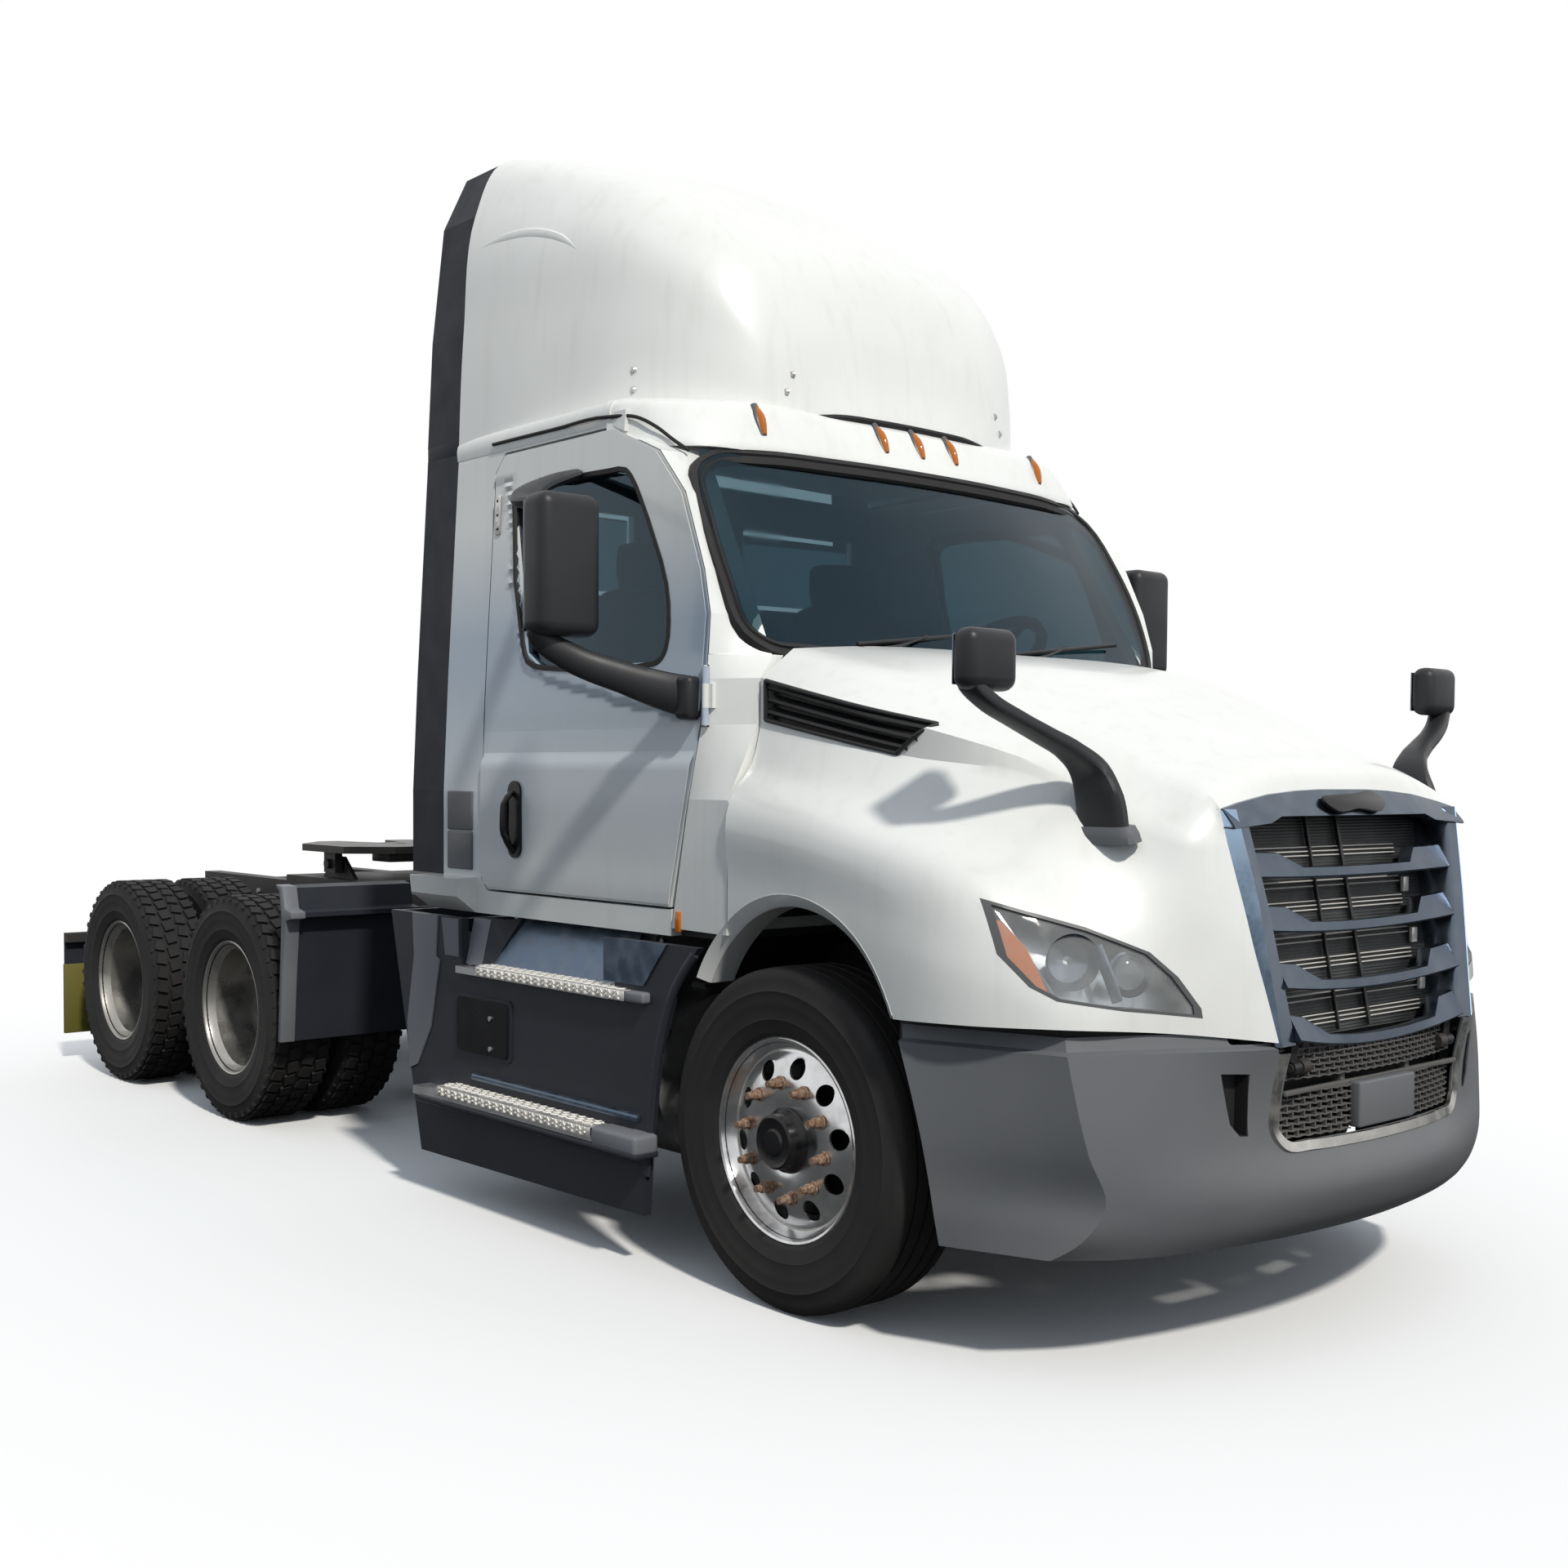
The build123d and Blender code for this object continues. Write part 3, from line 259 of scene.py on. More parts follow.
# %% Plastics and rubber
def moulded(name, colour, dust, amount=0.5, grain=0.0015, roughness=0.5, top=1.0, shine=0.3):
    """Grained plastic with a dusty lower part."""
    made = Finish(name, roughness=roughness)
    fade = made.noise(0.4, 5.0) * 0.5
    tone = made.blend(fade, colour, tuple(c * 1.35 + 0.004 for c in colour))
    made.set("Base Color", dusty(made, tone, dust, amount, top))
    made.set("Roughness", made.noise(0.12) * 0.25 + (roughness - 0.12))
    made.bump(made.noise(grain, 2.0), 0.18, 0.0006)
    made.set("Specular IOR Level", shine)
    return made


bumper_grey = moulded("bumper_grey", (0.118, 0.124, 0.134), (0.22, 0.215, 0.20), 0.35, roughness=0.50)
skirt_grey = moulded("skirt_grey", (0.017, 0.020, 0.028), (0.06, 0.059, 0.060), 0.3, roughness=0.52)
light_grey = moulded("light_grey_moulding", (0.150, 0.157, 0.175), (0.24, 0.235, 0.225), 0.4)
black_plastic = moulded("black_plastic", (0.012, 0.0125, 0.014), (0.10, 0.095, 0.09), 0.35, roughness=0.38)
comb_grey = moulded("comb_grey", (0.085, 0.083, 0.080), (0.22, 0.20, 0.18), 0.6)
flap_olive = moulded("flap_olive", (0.13, 0.115, 0.018), (0.16, 0.14, 0.07), 0.4)
extender_black = moulded("extender_black", (0.005, 0.007, 0.013), (0.04, 0.04, 0.05), 0.2, roughness=0.6)
gloss_black = moulded("gloss_black", (0.008, 0.008, 0.009), (0.05, 0.05, 0.05), 0.2, roughness=0.24)
mirror_black = moulded("mirror_black", (0.016, 0.017, 0.020), (0.10, 0.095, 0.09), 0.3, 0.0012, 0.42)
grey_vent = moulded("vent_grey", (0.115, 0.118, 0.125), (0.22, 0.21, 0.20), 0.4)
rubber = moulded("seal_rubber", (0.010, 0.010, 0.011), (0.07, 0.065, 0.06), 0.3, 0.003, 0.62)
iron = moulded("painted_iron", (0.016, 0.016, 0.018), (0.115, 0.10, 0.085), 0.9, 0.006, 0.55, 1.6)
grease = moulded("greased_plate", (0.030, 0.028, 0.026), (0.10, 0.085, 0.065), 0.8, 0.008, 0.38, 2.0)
tyre = moulded("tyre_rubber", (0.0085, 0.0085, 0.010), (0.060, 0.055, 0.048), 0.65, 0.003, 0.72, 0.9)
cabin_trim = moulded("cabin_trim", (0.035, 0.036, 0.040), (0.06, 0.06, 0.06), 0.3, 0.002, 0.6, 3.0)
dark_trim = moulded("lamp_bezel", (0.085, 0.088, 0.092), (0.20, 0.19, 0.18), 0.3, roughness=0.34)
print("plastics ready")


# %% Metals
def metal(name, colour, roughness, film, film_amount, size=0.05, bare=1.0):
    """Bright metal with a film of road dirt and fine scratches."""
    made = Finish(name, metallic=1.0, roughness=roughness)
    dirt = made.noise(size, 8.0).above(0.42, 0.75)
    made.set("Base Color", made.blend(dirt * film_amount, colour, film))
    made.set("Metallic", (1 - dirt * film_amount * 0.8) * bare)
    made.set("Roughness", dirt * 0.35 * film_amount + made.noise(0.01, 3.0) * 0.1 + roughness)
    return made


# Chrome and blade_chrome are dark and bluish: partly the metal's own colour, partly a painted reflection of
# dark bluish surroundings.
chrome = metal("chrome", (0.110, 0.135, 0.172), 0.12, (0.22, 0.24, 0.27), 0.25, 0.08)
# Painted reflection: a sky-blue metal that paints the sky's glint along the grille surround's inner bevel.
sky_chrome = metal("sky_chrome", (0.50, 0.68, 0.90), 0.10, (0.44, 0.50, 0.58), 0.20, 0.10)
kick_steel = metal("kick_plate", (0.10, 0.14, 0.20), 0.26, (0.17, 0.20, 0.24), 0.45, 0.06)
polished = metal("polished_wheel", (0.66, 0.67, 0.68), 0.13, (0.34, 0.32, 0.29), 0.30, 0.10)
dull_wheel = metal("dull_wheel", (0.74, 0.71, 0.66), 0.26, (0.42, 0.38, 0.32), 0.45, 0.12, 0.5)
drive_dish = metal("drive_wheel", (0.40, 0.39, 0.37), 0.20, (0.24, 0.23, 0.20), 0.50, 0.12, 0.85)
tread_metal = metal("tread_aluminium", (0.86, 0.85, 0.82), 0.34, (0.52, 0.50, 0.46), 0.45, 0.05)
brushed = metal("brushed_aluminium", (0.62, 0.63, 0.65), 0.30, (0.34, 0.33, 0.31), 0.4, 0.12)
steel = metal("zinc_steel", (0.55, 0.55, 0.56), 0.35, (0.25, 0.22, 0.18), 0.6, 0.02)
bumper_chrome = metal("mouth_chrome", (0.50, 0.49, 0.47), 0.16, (0.30, 0.28, 0.25), 0.5, 0.05)
slat_grey = metal("blade_chrome", (0.095, 0.118, 0.155), 0.24, (0.17, 0.19, 0.22), 0.3, 0.10)
lamp_silver = metal("lamp_tub", (0.42, 0.46, 0.50), 0.30, (0.30, 0.33, 0.35), 0.3, 0.02)
rust = Finish("rusty_nut", roughness=0.75, metallic=0.3)
flaking = rust.noise(0.008, 6.0).above(0.4, 0.65)
rust.set("Base Color", rust.blend(flaking, (0.20, 0.105, 0.06), (0.36, 0.27, 0.20)))
rust.bump(rust.noise(0.003), 0.5, 0.001)
screen = Finish("radiator_screen", roughness=0.5)
fins = screen.waves(36.0, "Z")
patches = screen.noise(0.10, 5.0, (1, 1, 2.5)).above(0.48, 0.72)
screen.set("Base Color", screen.blend(fins * patches * 0.7, (0.014, 0.016, 0.017), (0.075, 0.073, 0.070)))
screen.bump(fins, 0.5, 0.002)
print("metals ready")

# %% Glass and lamps
def clear(name, colour, roughness=0.02, transmission=1.0, speckle=0.1):
    """See-through finish with a faint dust film."""
    made = Finish(name, roughness=roughness, transmission_weight=transmission, ior=1.45)
    film = made.noise(0.15, 6.0).above(0.45, 0.8)
    made.set("Base Color", made.blend(film * speckle, colour, tuple(c * 0.7 for c in colour)))
    made.set("Roughness", film * 0.08 + roughness)
    return made


cab_glass = clear("teal_glass", (0.10, 0.17, 0.20), 0.01)
cab_glass.set("Specular Tint", (0.30, 0.62, 0.90))
lens = Finish("clear_lens", roughness=0.04, ior=1.5)
lens.set("Base Color", lens.blend(lens.noise(0.08), (0.86, 0.88, 0.89), (0.78, 0.80, 0.80)))
lens.set("Alpha", lens.noise(0.10, 6.0).above(0.45, 0.9) * 0.16 + 0.10)
bulb_glass = clear("bulb_glass", (0.85, 0.90, 0.92), 0.02)
amber = clear("amber_lens", (0.72, 0.20, 0.012), 0.12, 0.35)
red_lens = clear("red_lens", (0.45, 0.012, 0.010), 0.12, 0.35)
fabric = Finish("seat_cloth", roughness=0.92, sheen_weight=0.3)
weave = fabric.waves(180.0, "X")
worn = fabric.noise(0.02) * 0.6 + weave * 0.2
fabric.set("Base Color", fabric.blend(worn, (0.030, 0.031, 0.036), (0.07, 0.072, 0.08)))
fabric.bump(weave, 0.3, 0.0008)
print("glass, lamps and cloth ready")

# %% Paint the carried-over nodes
slot_finish = {
    "white_paint": white, "frame_paint": iron, "cast_black": iron, "brushed_aluminium": brushed,
    "polished_aluminium": polished, "chrome_trim": chrome, "grey_plastic": bumper_grey,
    "dark_plastic": skirt_grey, "black_plastic": black_plastic, "tyre_rubber": tyre, "soft_rubber": rubber,
    "cab_glass": cab_glass, "lamp_lens": lens, "amber_lens": amber, "seat_fabric": fabric,
}
# The cab's sides and doors take the white with painted shade.
own_finish = {
    "dashboard": cabin_trim, "cab_floor": cabin_trim, "fifth_wheel_plate": grease,
    "radiator": black_plastic, "rear_extenders": extender_black, "mud_guards": skirt_grey,
    "cab_sides": shaded_side_white, "door_right": shaded_side_white, "door_left": shaded_side_white,
}
slot_of = {row["node"]: row["material_slot"] for row in frame["record"]["subparts"]}
for name, node in nodes.items():
    made = own_finish.get(name, slot_finish[slot_of[name]])
    node.data.materials.clear()
    node.data.materials.append(made.material)
print("painted", len(nodes), "nodes")

# %% [markdown]
# ## Modelling helpers
# Pressed panels are smooth surfaces through a few measured cross-sections. `flow` draws a smooth line
# through points, `woven` runs it both ways over a table of sections, and `grid_of` lays a grid over the
# result. Openings are cut afterwards with prisms, as a die would punch them.


# %% Smooth lines and panels
def flow(points, pieces, corners=()):
    """Smooth line through points, with a sharp turn at each corner index."""
    points = [Vector(p) for p in points]
    last = len(points) - 1
    lengths = [(b - a).length + 1e-9 for a, b in zip(points, points[1:])]
    chords = [(b - a) / span for a, b, span in zip(points, points[1:], lengths)]
    line = []
    for i in range(last):
        span = lengths[i]
        start = end = None
        if i > 0 and i not in corners:
            start = (chords[i - 1] * span + chords[i] * lengths[i - 1]) / (span + lengths[i - 1])
        if i < last - 1 and i + 1 not in corners:
            end = (chords[i] * lengths[i + 1] + chords[i + 1] * span) / (span + lengths[i + 1])
        if start is None:
            start = chords[i] if end is None else chords[i] * 1.5 - end * 0.5
        if end is None:
            end = chords[i] * 1.5 - start * 0.5
        for k in range(pieces):
            s = k / pieces
            line.append(points[i] * (2 * s ** 3 - 3 * s ** 2 + 1) + points[i + 1] * (3 * s ** 2 - 2 * s ** 3)
                        + start * span * (s ** 3 - 2 * s ** 2 + s) + end * span * (s ** 3 - s ** 2))
    return line + [points[-1]]


def woven(rows, across, along, corners=(), row_corners=()):
    """Rows of points made dense and smooth both ways."""
    fine = [flow(row, across, corners) for row in rows]
    columns = [flow(column, along, row_corners) for column in zip(*fine)]
    return [list(row) for row in zip(*columns)]


def grid_of(rows):
    """A bmesh grid whose corners lie on the rows' points."""
    bm = bmesh.new()
    wide, tall = len(rows[0]) - 1, len(rows) - 1
    bmesh.ops.create_grid(bm, x_segments=wide, y_segments=tall, size=1.0)
    for vert in bm.verts:
        i = round((vert.co.x + 1) / 2 * wide)
        j = round((vert.co.y + 1) / 2 * tall)
        vert.co = rows[j][i]
    bmesh.ops.remove_doubles(bm, verts=bm.verts[:], dist=1e-5)
    return bm


def thickened(bm, thickness, outward):
    """Give a grid its wall, on the side away from the outward direction."""
    bm.normal_update()
    if sum(face.normal.dot(outward(face.calc_center_median())) for face in bm.faces) < 0:
        bmesh.ops.reverse_faces(bm, faces=bm.faces[:])
    bm.normal_update()
    bmesh.ops.solidify(bm, geom=bm.faces[:], thickness=thickness)
    closed_outward(bm)
    return bm


print("line and panel helpers ready")


# %% Solids from outlines, boxes, rods and lathes
def slab(bm, points, push):
    """Prism of an outline pushed along a vector."""
    new = bmesh.new()
    face = new.faces.new([new.verts.new(p) for p in points])
    made = bmesh.ops.extrude_face_region(new, geom=[face])["geom"]
    moved = [v for v in made if isinstance(v, bmesh.types.BMVert)]
    bmesh.ops.translate(new, verts=moved, vec=Vector(push))
    closed_outward(new)
    join(bm, new)


def closed_outward(bm):
    """Turn a closed mesh's faces outward."""
    bmesh.ops.recalc_face_normals(bm, faces=bm.faces[:])
    if bm.calc_volume(signed=True) < 0:
        bmesh.ops.reverse_faces(bm, faces=bm.faces[:])


def soften(bm, width, edges=None, segments=2, angle=30):
    """Bevel the sharp edges."""
    edges = edges or [e for e in bm.edges if e.calc_face_angle(0) > math.radians(angle)]
    bmesh.ops.bevel(bm, geom=edges, offset=width, segments=segments, profile=0.5, affect="EDGES", material=-1,
                    clamp_overlap=True)


def block(bm, spot, size, turned=Matrix()):
    """Plain box about a spot, turned there."""
    matrix = Matrix.Translation(spot) @ turned @ Matrix.Diagonal((*size, 1))
    bmesh.ops.create_cube(bm, size=1.0, matrix=matrix)


def brick(bm, low, high, bevel=0.0, segments=2):
    """Box between two corners, with softened edges."""
    low, high = Vector(low), Vector(high)
    new = bmesh.new()
    block(new, (low + high) / 2, [abs(v) for v in high - low])
    if bevel:
        soften(new, bevel, new.edges[:], segments)
    join(bm, new)


def rod(bm, start, end, radius, radius_end=None, segments=24, bevel=0.0):
    """Round bar from point to point."""
    start, end = Vector(start), Vector(end)
    axis = end - start
    new = bmesh.new()
    matrix = Matrix.Translation((start + end) / 2) @ axis.to_track_quat("Z", "Y").to_matrix().to_4x4()
    far = radius if radius_end is None else radius_end
    bmesh.ops.create_cone(new, cap_ends=True, segments=segments, radius1=radius, radius2=far,
                          depth=axis.length, matrix=matrix)
    if bevel:
        soften(new, bevel, None, 2, 50)
    join(bm, new)


def lathe(bm, profile, centre, steps=48, axis=(0, 1, 0)):
    """Turn (along, radius) points about an axis through the centre."""
    new = bmesh.new()
    centre, axis = Vector(centre), Vector(axis).normalized()
    out = Vector((0, 0, 1)) if abs(axis.z) < 0.9 else Vector((1, 0, 0))
    out = (out - axis * out.dot(axis)).normalized()
    verts = [new.verts.new(centre + axis * a + out * max(r, 1e-5)) for a, r in profile]
    edges = [new.edges.new(pair) for pair in zip(verts, verts[1:])]
    bmesh.ops.spin(new, geom=verts + edges, cent=centre, axis=axis, angle=math.tau, steps=steps,
                   use_merge=True)
    bmesh.ops.remove_doubles(new, verts=new.verts[:], dist=5e-5)
    closed_outward(new)
    join(bm, new)


def join(bm, new):
    """Add one bmesh to another."""
    carrier = bpy.data.meshes.new("carrier")
    new.to_mesh(carrier)
    new.free()
    bm.from_mesh(carrier)
    bpy.data.meshes.remove(carrier)


print("solid helpers ready")

# %% Bars, mouldings and lofts
BAND_WALL = 0.003


def tube(bm, points, widths, pieces=6, ring=12):
    """Rounded bar along a smooth line; widths are (across, thick) at each point."""
    line = flow(points, pieces)
    sizes = flow([(*w, 0) for w in widths], pieces)
    new = bmesh.new()
    loops = []
    for i, (spot, size) in enumerate(zip(line, sizes)):
        ahead = (line[min(i + 1, len(line) - 1)] - line[max(i - 1, 0)]).normalized()
        across = ahead.cross(Vector((0, 0, 1)) if abs(ahead.z) < 0.95 else Vector((1, 0, 0))).normalized()
        up = across.cross(ahead)
        axes = Matrix((across, up, ahead)).transposed().to_4x4()
        matrix = Matrix.Translation(spot) @ axes @ Matrix.Diagonal((size.x / 2, size.y / 2, 1, 1))
        made = bmesh.ops.create_circle(new, cap_ends=False, segments=ring, radius=1.0, matrix=matrix)
        loops.append(list({edge for vert in made["verts"] for edge in vert.link_edges}))
    for one, two in zip(loops, loops[1:]):
        bmesh.ops.bridge_loops(new, edges=one + two)
    bmesh.ops.holes_fill(new, edges=new.edges[:], sides=ring)
    closed_outward(new)
    join(bm, new)


def band(bm, points, normal, profile, pieces=5, closed=False):
    """Moulding laid along a line: profile is (across, out) pairs, out is along the normal."""
    normal = Vector(normal).normalized()
    ring = [Vector(p) for p in points]
    if closed:
        ring = ring[-2:] + ring + ring[:3]
    line = flow(ring, pieces)
    if closed:
        line = line[2 * pieces:-2 * pieces]
    rows = []
    for i, spot in enumerate(line):
        if closed:
            ahead = line[(i + 1) % (len(line) - 1)] - line[i - 1 if i else -2]
        else:
            ahead = line[min(i + 1, len(line) - 1)] - line[max(i - 1, 0)]
        across = normal.cross(ahead).normalized()
        rows.append([spot + across * a + normal * b for a, b in profile])
    join(bm, thickened(grid_of(rows), BAND_WALL, lambda p: normal))


def lofted(rings):
    """Closed solid through rings of points, with its end caps."""
    bm = bmesh.new()
    loops = [[bm.verts.new(p) for p in ring] for ring in rings]
    edges = [bm.edges.new((loop[i - 1], loop[i])) for loop in loops for i in range(len(loop))]
    size = len(rings[0])
    for k in range(len(loops) - 1):
        bmesh.ops.bridge_loops(bm, edges=edges[k * size:(k + 2) * size])
    for loop in (loops[0], loops[-1]):
        bm.faces.new(loop)
    closed_outward(bm)
    return bm


def blade_arm(bm, points, widths, pieces=5):
    """Flat rounded arm, wide along the truck: widths are (along, thick) at each point."""
    line = flow(points, pieces)
    sizes = flow([(*w, 0) for w in widths], pieces)
    rings = []
    for i, (spot, size) in enumerate(zip(line, sizes)):
        ahead = line[min(i + 1, len(line) - 1)] - line[max(i - 1, 0)]
        thick = Vector((0, -ahead.z, ahead.y)).normalized() * size.y / 2
        along = Vector((size.x / 2, 0, 0))
        turns = [math.tau * (k + 0.5) / 16 for k in range(16)]
        rings.append([spot + along * math.copysign(abs(math.cos(a)) ** 0.6, math.cos(a))
                      + thick * math.copysign(abs(math.sin(a)) ** 0.6, math.sin(a)) for a in turns])
    join(bm, lofted(rings))


print("bar and moulding helpers ready")


# %% Both sides of the truck
def full_width(half):
    """Points of the left side, from outside to the middle, after their mirror image."""
    return [(x, -y, z) for x, y, z in half] + [(x, y, z) for x, y, z in reversed(half[:-1])]


def on_side(side, points):
    """Points as (station, distance from the middle, Z), put on one side of the truck."""
    return [(at(x), side * y, z) for x, y, z in points]


def side_brick(bm, side, stations, distances, heights, bevel=0.0, segments=2):
    """Box on one side of the truck."""
    low, high = sorted(side * y for y in distances)
    brick(bm, (at(stations[0]), low, heights[0]), (at(stations[1]), high, heights[1]), bevel, segments)


def side_lathe(bm, side, profile, centre, segments):
    """Turned part whose profile runs out of one side of the truck."""
    lathe(bm, [(side * a, r) for a, r in profile], centre, segments)


def copied(bm):
    """The same shape on the truck's other side as well."""
    new = bm.copy()
    bmesh.ops.scale(new, vec=(1, -1, 1), verts=new.verts[:])
    bmesh.ops.reverse_faces(new, faces=new.faces[:])
    join(bm, new)


print("mirroring helpers ready")

# %% Cutting and finishing
SHARP = math.radians(32)


def plain_object(bm, name):
    """Object from a bmesh, smooth except at real edges."""
    for face in bm.faces:
        face.smooth = True
    for edge in bm.edges:
        edge.smooth = edge.calc_face_angle(0) < SHARP
    mesh = bpy.data.meshes.new(name)
    bm.to_mesh(mesh)
    bm.free()
    made = bpy.data.objects.new(name, mesh)
    bpy.context.scene.collection.objects.link(made)
    return made


def cut(obj, bm, operation="DIFFERENCE", solver="EXACT"):
    """Cut obj with a closed bmesh."""
    cutter = plain_object(bm, obj.name + ".die")
    step = obj.modifiers.new("die", "BOOLEAN")
    step.operation, step.solver, step.object = operation, solver, cutter
    graph = bpy.context.evaluated_depsgraph_get()
    mesh = bpy.data.meshes.new_from_object(obj.evaluated_get(graph))
    obj.modifiers.clear()
    obj.data = mesh
    bpy.data.objects.remove(cutter)
    tidy = bmesh.new()
    tidy.from_mesh(mesh)
    bmesh.ops.dissolve_degenerate(tidy, dist=1e-5, edges=tidy.edges[:])
    for edge in tidy.edges:
        edge.smooth = edge.calc_face_angle(0) < SHARP
    tidy.to_mesh(mesh)
    tidy.free()


def dress(obj, finish, body, slot, *stands_for):
    """Paint a finished piece and tie it to its body."""
    obj.data.materials.clear()
    obj.data.materials.append(finish.material)
    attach(obj, body)
    if stands_for:
        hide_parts(*stands_for)
    print("made", obj.name, len(obj.data.polygons), "faces")
    return obj


def piece(bm, name, finish, body, slot, *stands_for):
    """Finish a bmesh in one go."""
    return dress(plain_object(bm, name), finish, body, slot, *stands_for)


def cast(tree, start, direction):
    """Where a ray meets a surface, or None."""
    return tree.ray_cast(Vector(start), Vector(direction))[0]


def away_from_middle(point):
    """Outward direction on the truck's body at a point."""
    return Vector((0.25, point.y, 0.6))


def forward(point):
    """Outward direction of a panel that faces ahead."""
    return Vector((1, 0, 0))


print("modelling helpers ready")

# %% [markdown]
# ## Hood
# The hood and both fenders are one moulding that tips forward. Its cross-sections are listed from the ridge
# out and down: the raised centre panel, the shoulder that runs to the grille's corner, the ledge over the
# vent, the hollow above the fender and the fender's own shoulder and side. The nose section leans back with
# the grille.

# %% Hood sections
NOSE_FOOT, NOSE_LEAN, NOSE_FLOOR = 1.236, 0.208, 0.878


def nose_station(z):
    """Station of the leaning nose at a height."""
    return NOSE_FOOT - NOSE_LEAN * (z - NOSE_FLOOR)


# station, then (Y, Z) of: ridge, panel edge, shoulder, vent top, vent foot, hollow, fender, fender side, hem
hood_sections = (
    (-0.24, (0, 1.985), (0.56, 1.980), (0.90, 1.955), (1.03, 1.86), (1.03, 1.72), (1.065, 1.60), (1.15, 1.49),
     (1.155, 1.25), (1.155, 1.08)),
    (0.30, (0, 1.905), (0.42, 1.895), (0.80, 1.81), (0.985, 1.725), (0.965, 1.625), (1.06, 1.50),
     (1.18, 1.405), (1.192, 1.20), (1.19, 0.93)),
    (0.74, (0, 1.745), (0.38, 1.725), (0.64, 1.665), (0.79, 1.57), (0.815, 1.535), (0.97, 1.39), (1.14, 1.28),
     (1.18, 1.12), (1.185, 0.93)),
    (0.95, (0, 1.650), (0.368, 1.637), (0.608, 1.572), (0.735, 1.45), (0.78, 1.37), (0.87, 1.25),
     (0.99, 1.13), (1.045, 1.01), (1.055, 0.93)),
    (1.08, (0, 1.585), (0.36, 1.572), (0.598, 1.518), (0.68, 1.40), (0.70, 1.31), (0.725, 1.20),
     (0.745, 1.10), (0.765, 1.0), (0.775, 0.91)),
    (None, (0, 1.535), (0.36, 1.522), (0.60, 1.485), (0.593, 1.40), (0.578, 1.31), (0.562, 1.22),
     (0.548, 1.12), (0.525, 1.0), (0.505, 0.878)),
)
COLUMNS = 9


def hood_rows(shrink=0.0):
    """Full-width rows of the hood's surface, drawn in by shrink."""
    rows = []
    for station, *half in hood_sections:
        spots = []
        for y, z in half:
            x = nose_station(z) if station is None else station
            spots.append((at(x - shrink), max(y - shrink, 0), z - shrink * 0.7))
        rows.append(full_width(spots[::-1]))
    sharp = [COLUMNS - 1 + k for k in (-4, -3, -2, 2, 3, 4)]
    return woven(rows, 5, 7, sharp)


hood = plain_object(thickened(grid_of(hood_rows()), 0.012, away_from_middle), "hood_skin")
print("hood skin", len(hood.data.polygons))

# %% Openings in the hood
LAMP_TURN, LAMP_FAR = math.radians(61), 1.6
lamp_outline = ((-0.461, 1.001), (-0.527, 1.036), (-0.598, 1.116), (-0.628, 1.256), (-0.511, 1.223),
                (-0.368, 1.184), (-0.198, 1.119), (-0.120, 1.054), (-0.057, 0.972), (-0.053, 0.946),
                (-0.276, 0.971))
vent_outline = ((-0.215, 1.850), (0.395, 1.712), (0.285, 1.630), (-0.215, 1.732))
grille_mouth = ((0.575, 1.468), (-0.575, 1.468), (-0.487, 0.905), (0.487, 0.905))
ARCH = Vector((at(0.06), 0, 0.73))
ARCH_OUTER, ARCH_INNER, ARCH_LINER = 0.497, 0.460, 0.54
lip_profile = ((ARCH_OUTER, -0.001), (ARCH_INNER + 0.006, 0.022), (ARCH_INNER, 0.030), (ARCH_INNER, 0.12))


def lamp_spot(side, u, z, depth):
    """Point of the lamp's upright plane, pushed out by depth."""
    c, s = math.cos(LAMP_TURN), math.sin(LAMP_TURN)
    return Vector((at(u * c + depth * s), side * (-u * s + depth * c), z))


def lamp_aim(side):
    """Unit direction in which a lamp looks."""
    return Vector((math.sin(LAMP_TURN), side * math.cos(LAMP_TURN), 0))


def lamp_prism(side, grow=1.0, outline=lamp_outline):
    """Closed prism of an outline on the lamp's plane."""
    near, far = 0.9, LAMP_FAR
    middle = Vector((-0.33, 1.07))
    bm = bmesh.new()
    spots = [middle + (Vector(p) - middle) * grow for p in outline]
    slab(bm, [lamp_spot(side, u, z, near) for u, z in spots], lamp_aim(side) * (far - near))
    return bm


def side_prism(bm, outline, y_from, y_to, side):
    """Prism of a (station, Z) outline through a side panel."""
    slab(bm, [(at(x), side * y_from, z) for x, z in outline], (0, side * (y_to - y_from), 0))


dies = bmesh.new()
slab(dies, [(at(nose_station(z)) - 0.10, y, z) for y, z in grille_mouth], (0.25, 0, 0.052))
for side in (-1, 1):
    side_prism(dies, vent_outline, 0.84, 1.2, side)
    near, far = (ARCH + Vector((0, side * y, 0)) for y in (0.7, 1.3))
    rod(dies, near, far, ARCH_OUTER, segments=96)
cut(hood, dies)
for side in (-1, 1):
    cut(hood, lamp_prism(side))
dress(hood, white, "hood", "white_paint", "hood_shell")

# %% Wheel arch lips
RAY_START, FENDER_SIDE = 2.0, 1.155
skin_tree = BVHTree.FromBMesh(grid_of(hood_rows()))


def fender_y(x, z):
    """How far out the fender's surface lies here."""
    hit = cast(skin_tree, (x, -RAY_START, z), (0, 1, 0))
    return -hit.y if hit else FENDER_SIDE


def lip_side(p):
    """Outward direction of the right arch's lip."""
    return Vector((p.x - ARCH.x, -3 * abs(p.y), 0)) * 0.1 + Vector((0, -1, 0))


LIP_STEPS, LIP_START, LIP_SWEEP = 48, 24, 130
rows = []
for k in range(LIP_STEPS + 1):
    angle = math.radians(LIP_START + LIP_SWEEP * k / LIP_STEPS)
    ring = []
    ray = Vector((math.cos(angle), 0, math.sin(angle)))
    rim = ARCH + ray * ARCH_OUTER
    for radius, inset in lip_profile:
        spot = ARCH + ray * radius
        ring.append((spot.x, inset - fender_y(rim.x, rim.z), spot.z))
    rows.append(ring)
lips = thickened(grid_of(rows), 0.006, lip_side)
copied(lips)
piece(lips, "arch_lips", white, "hood", "white_paint")

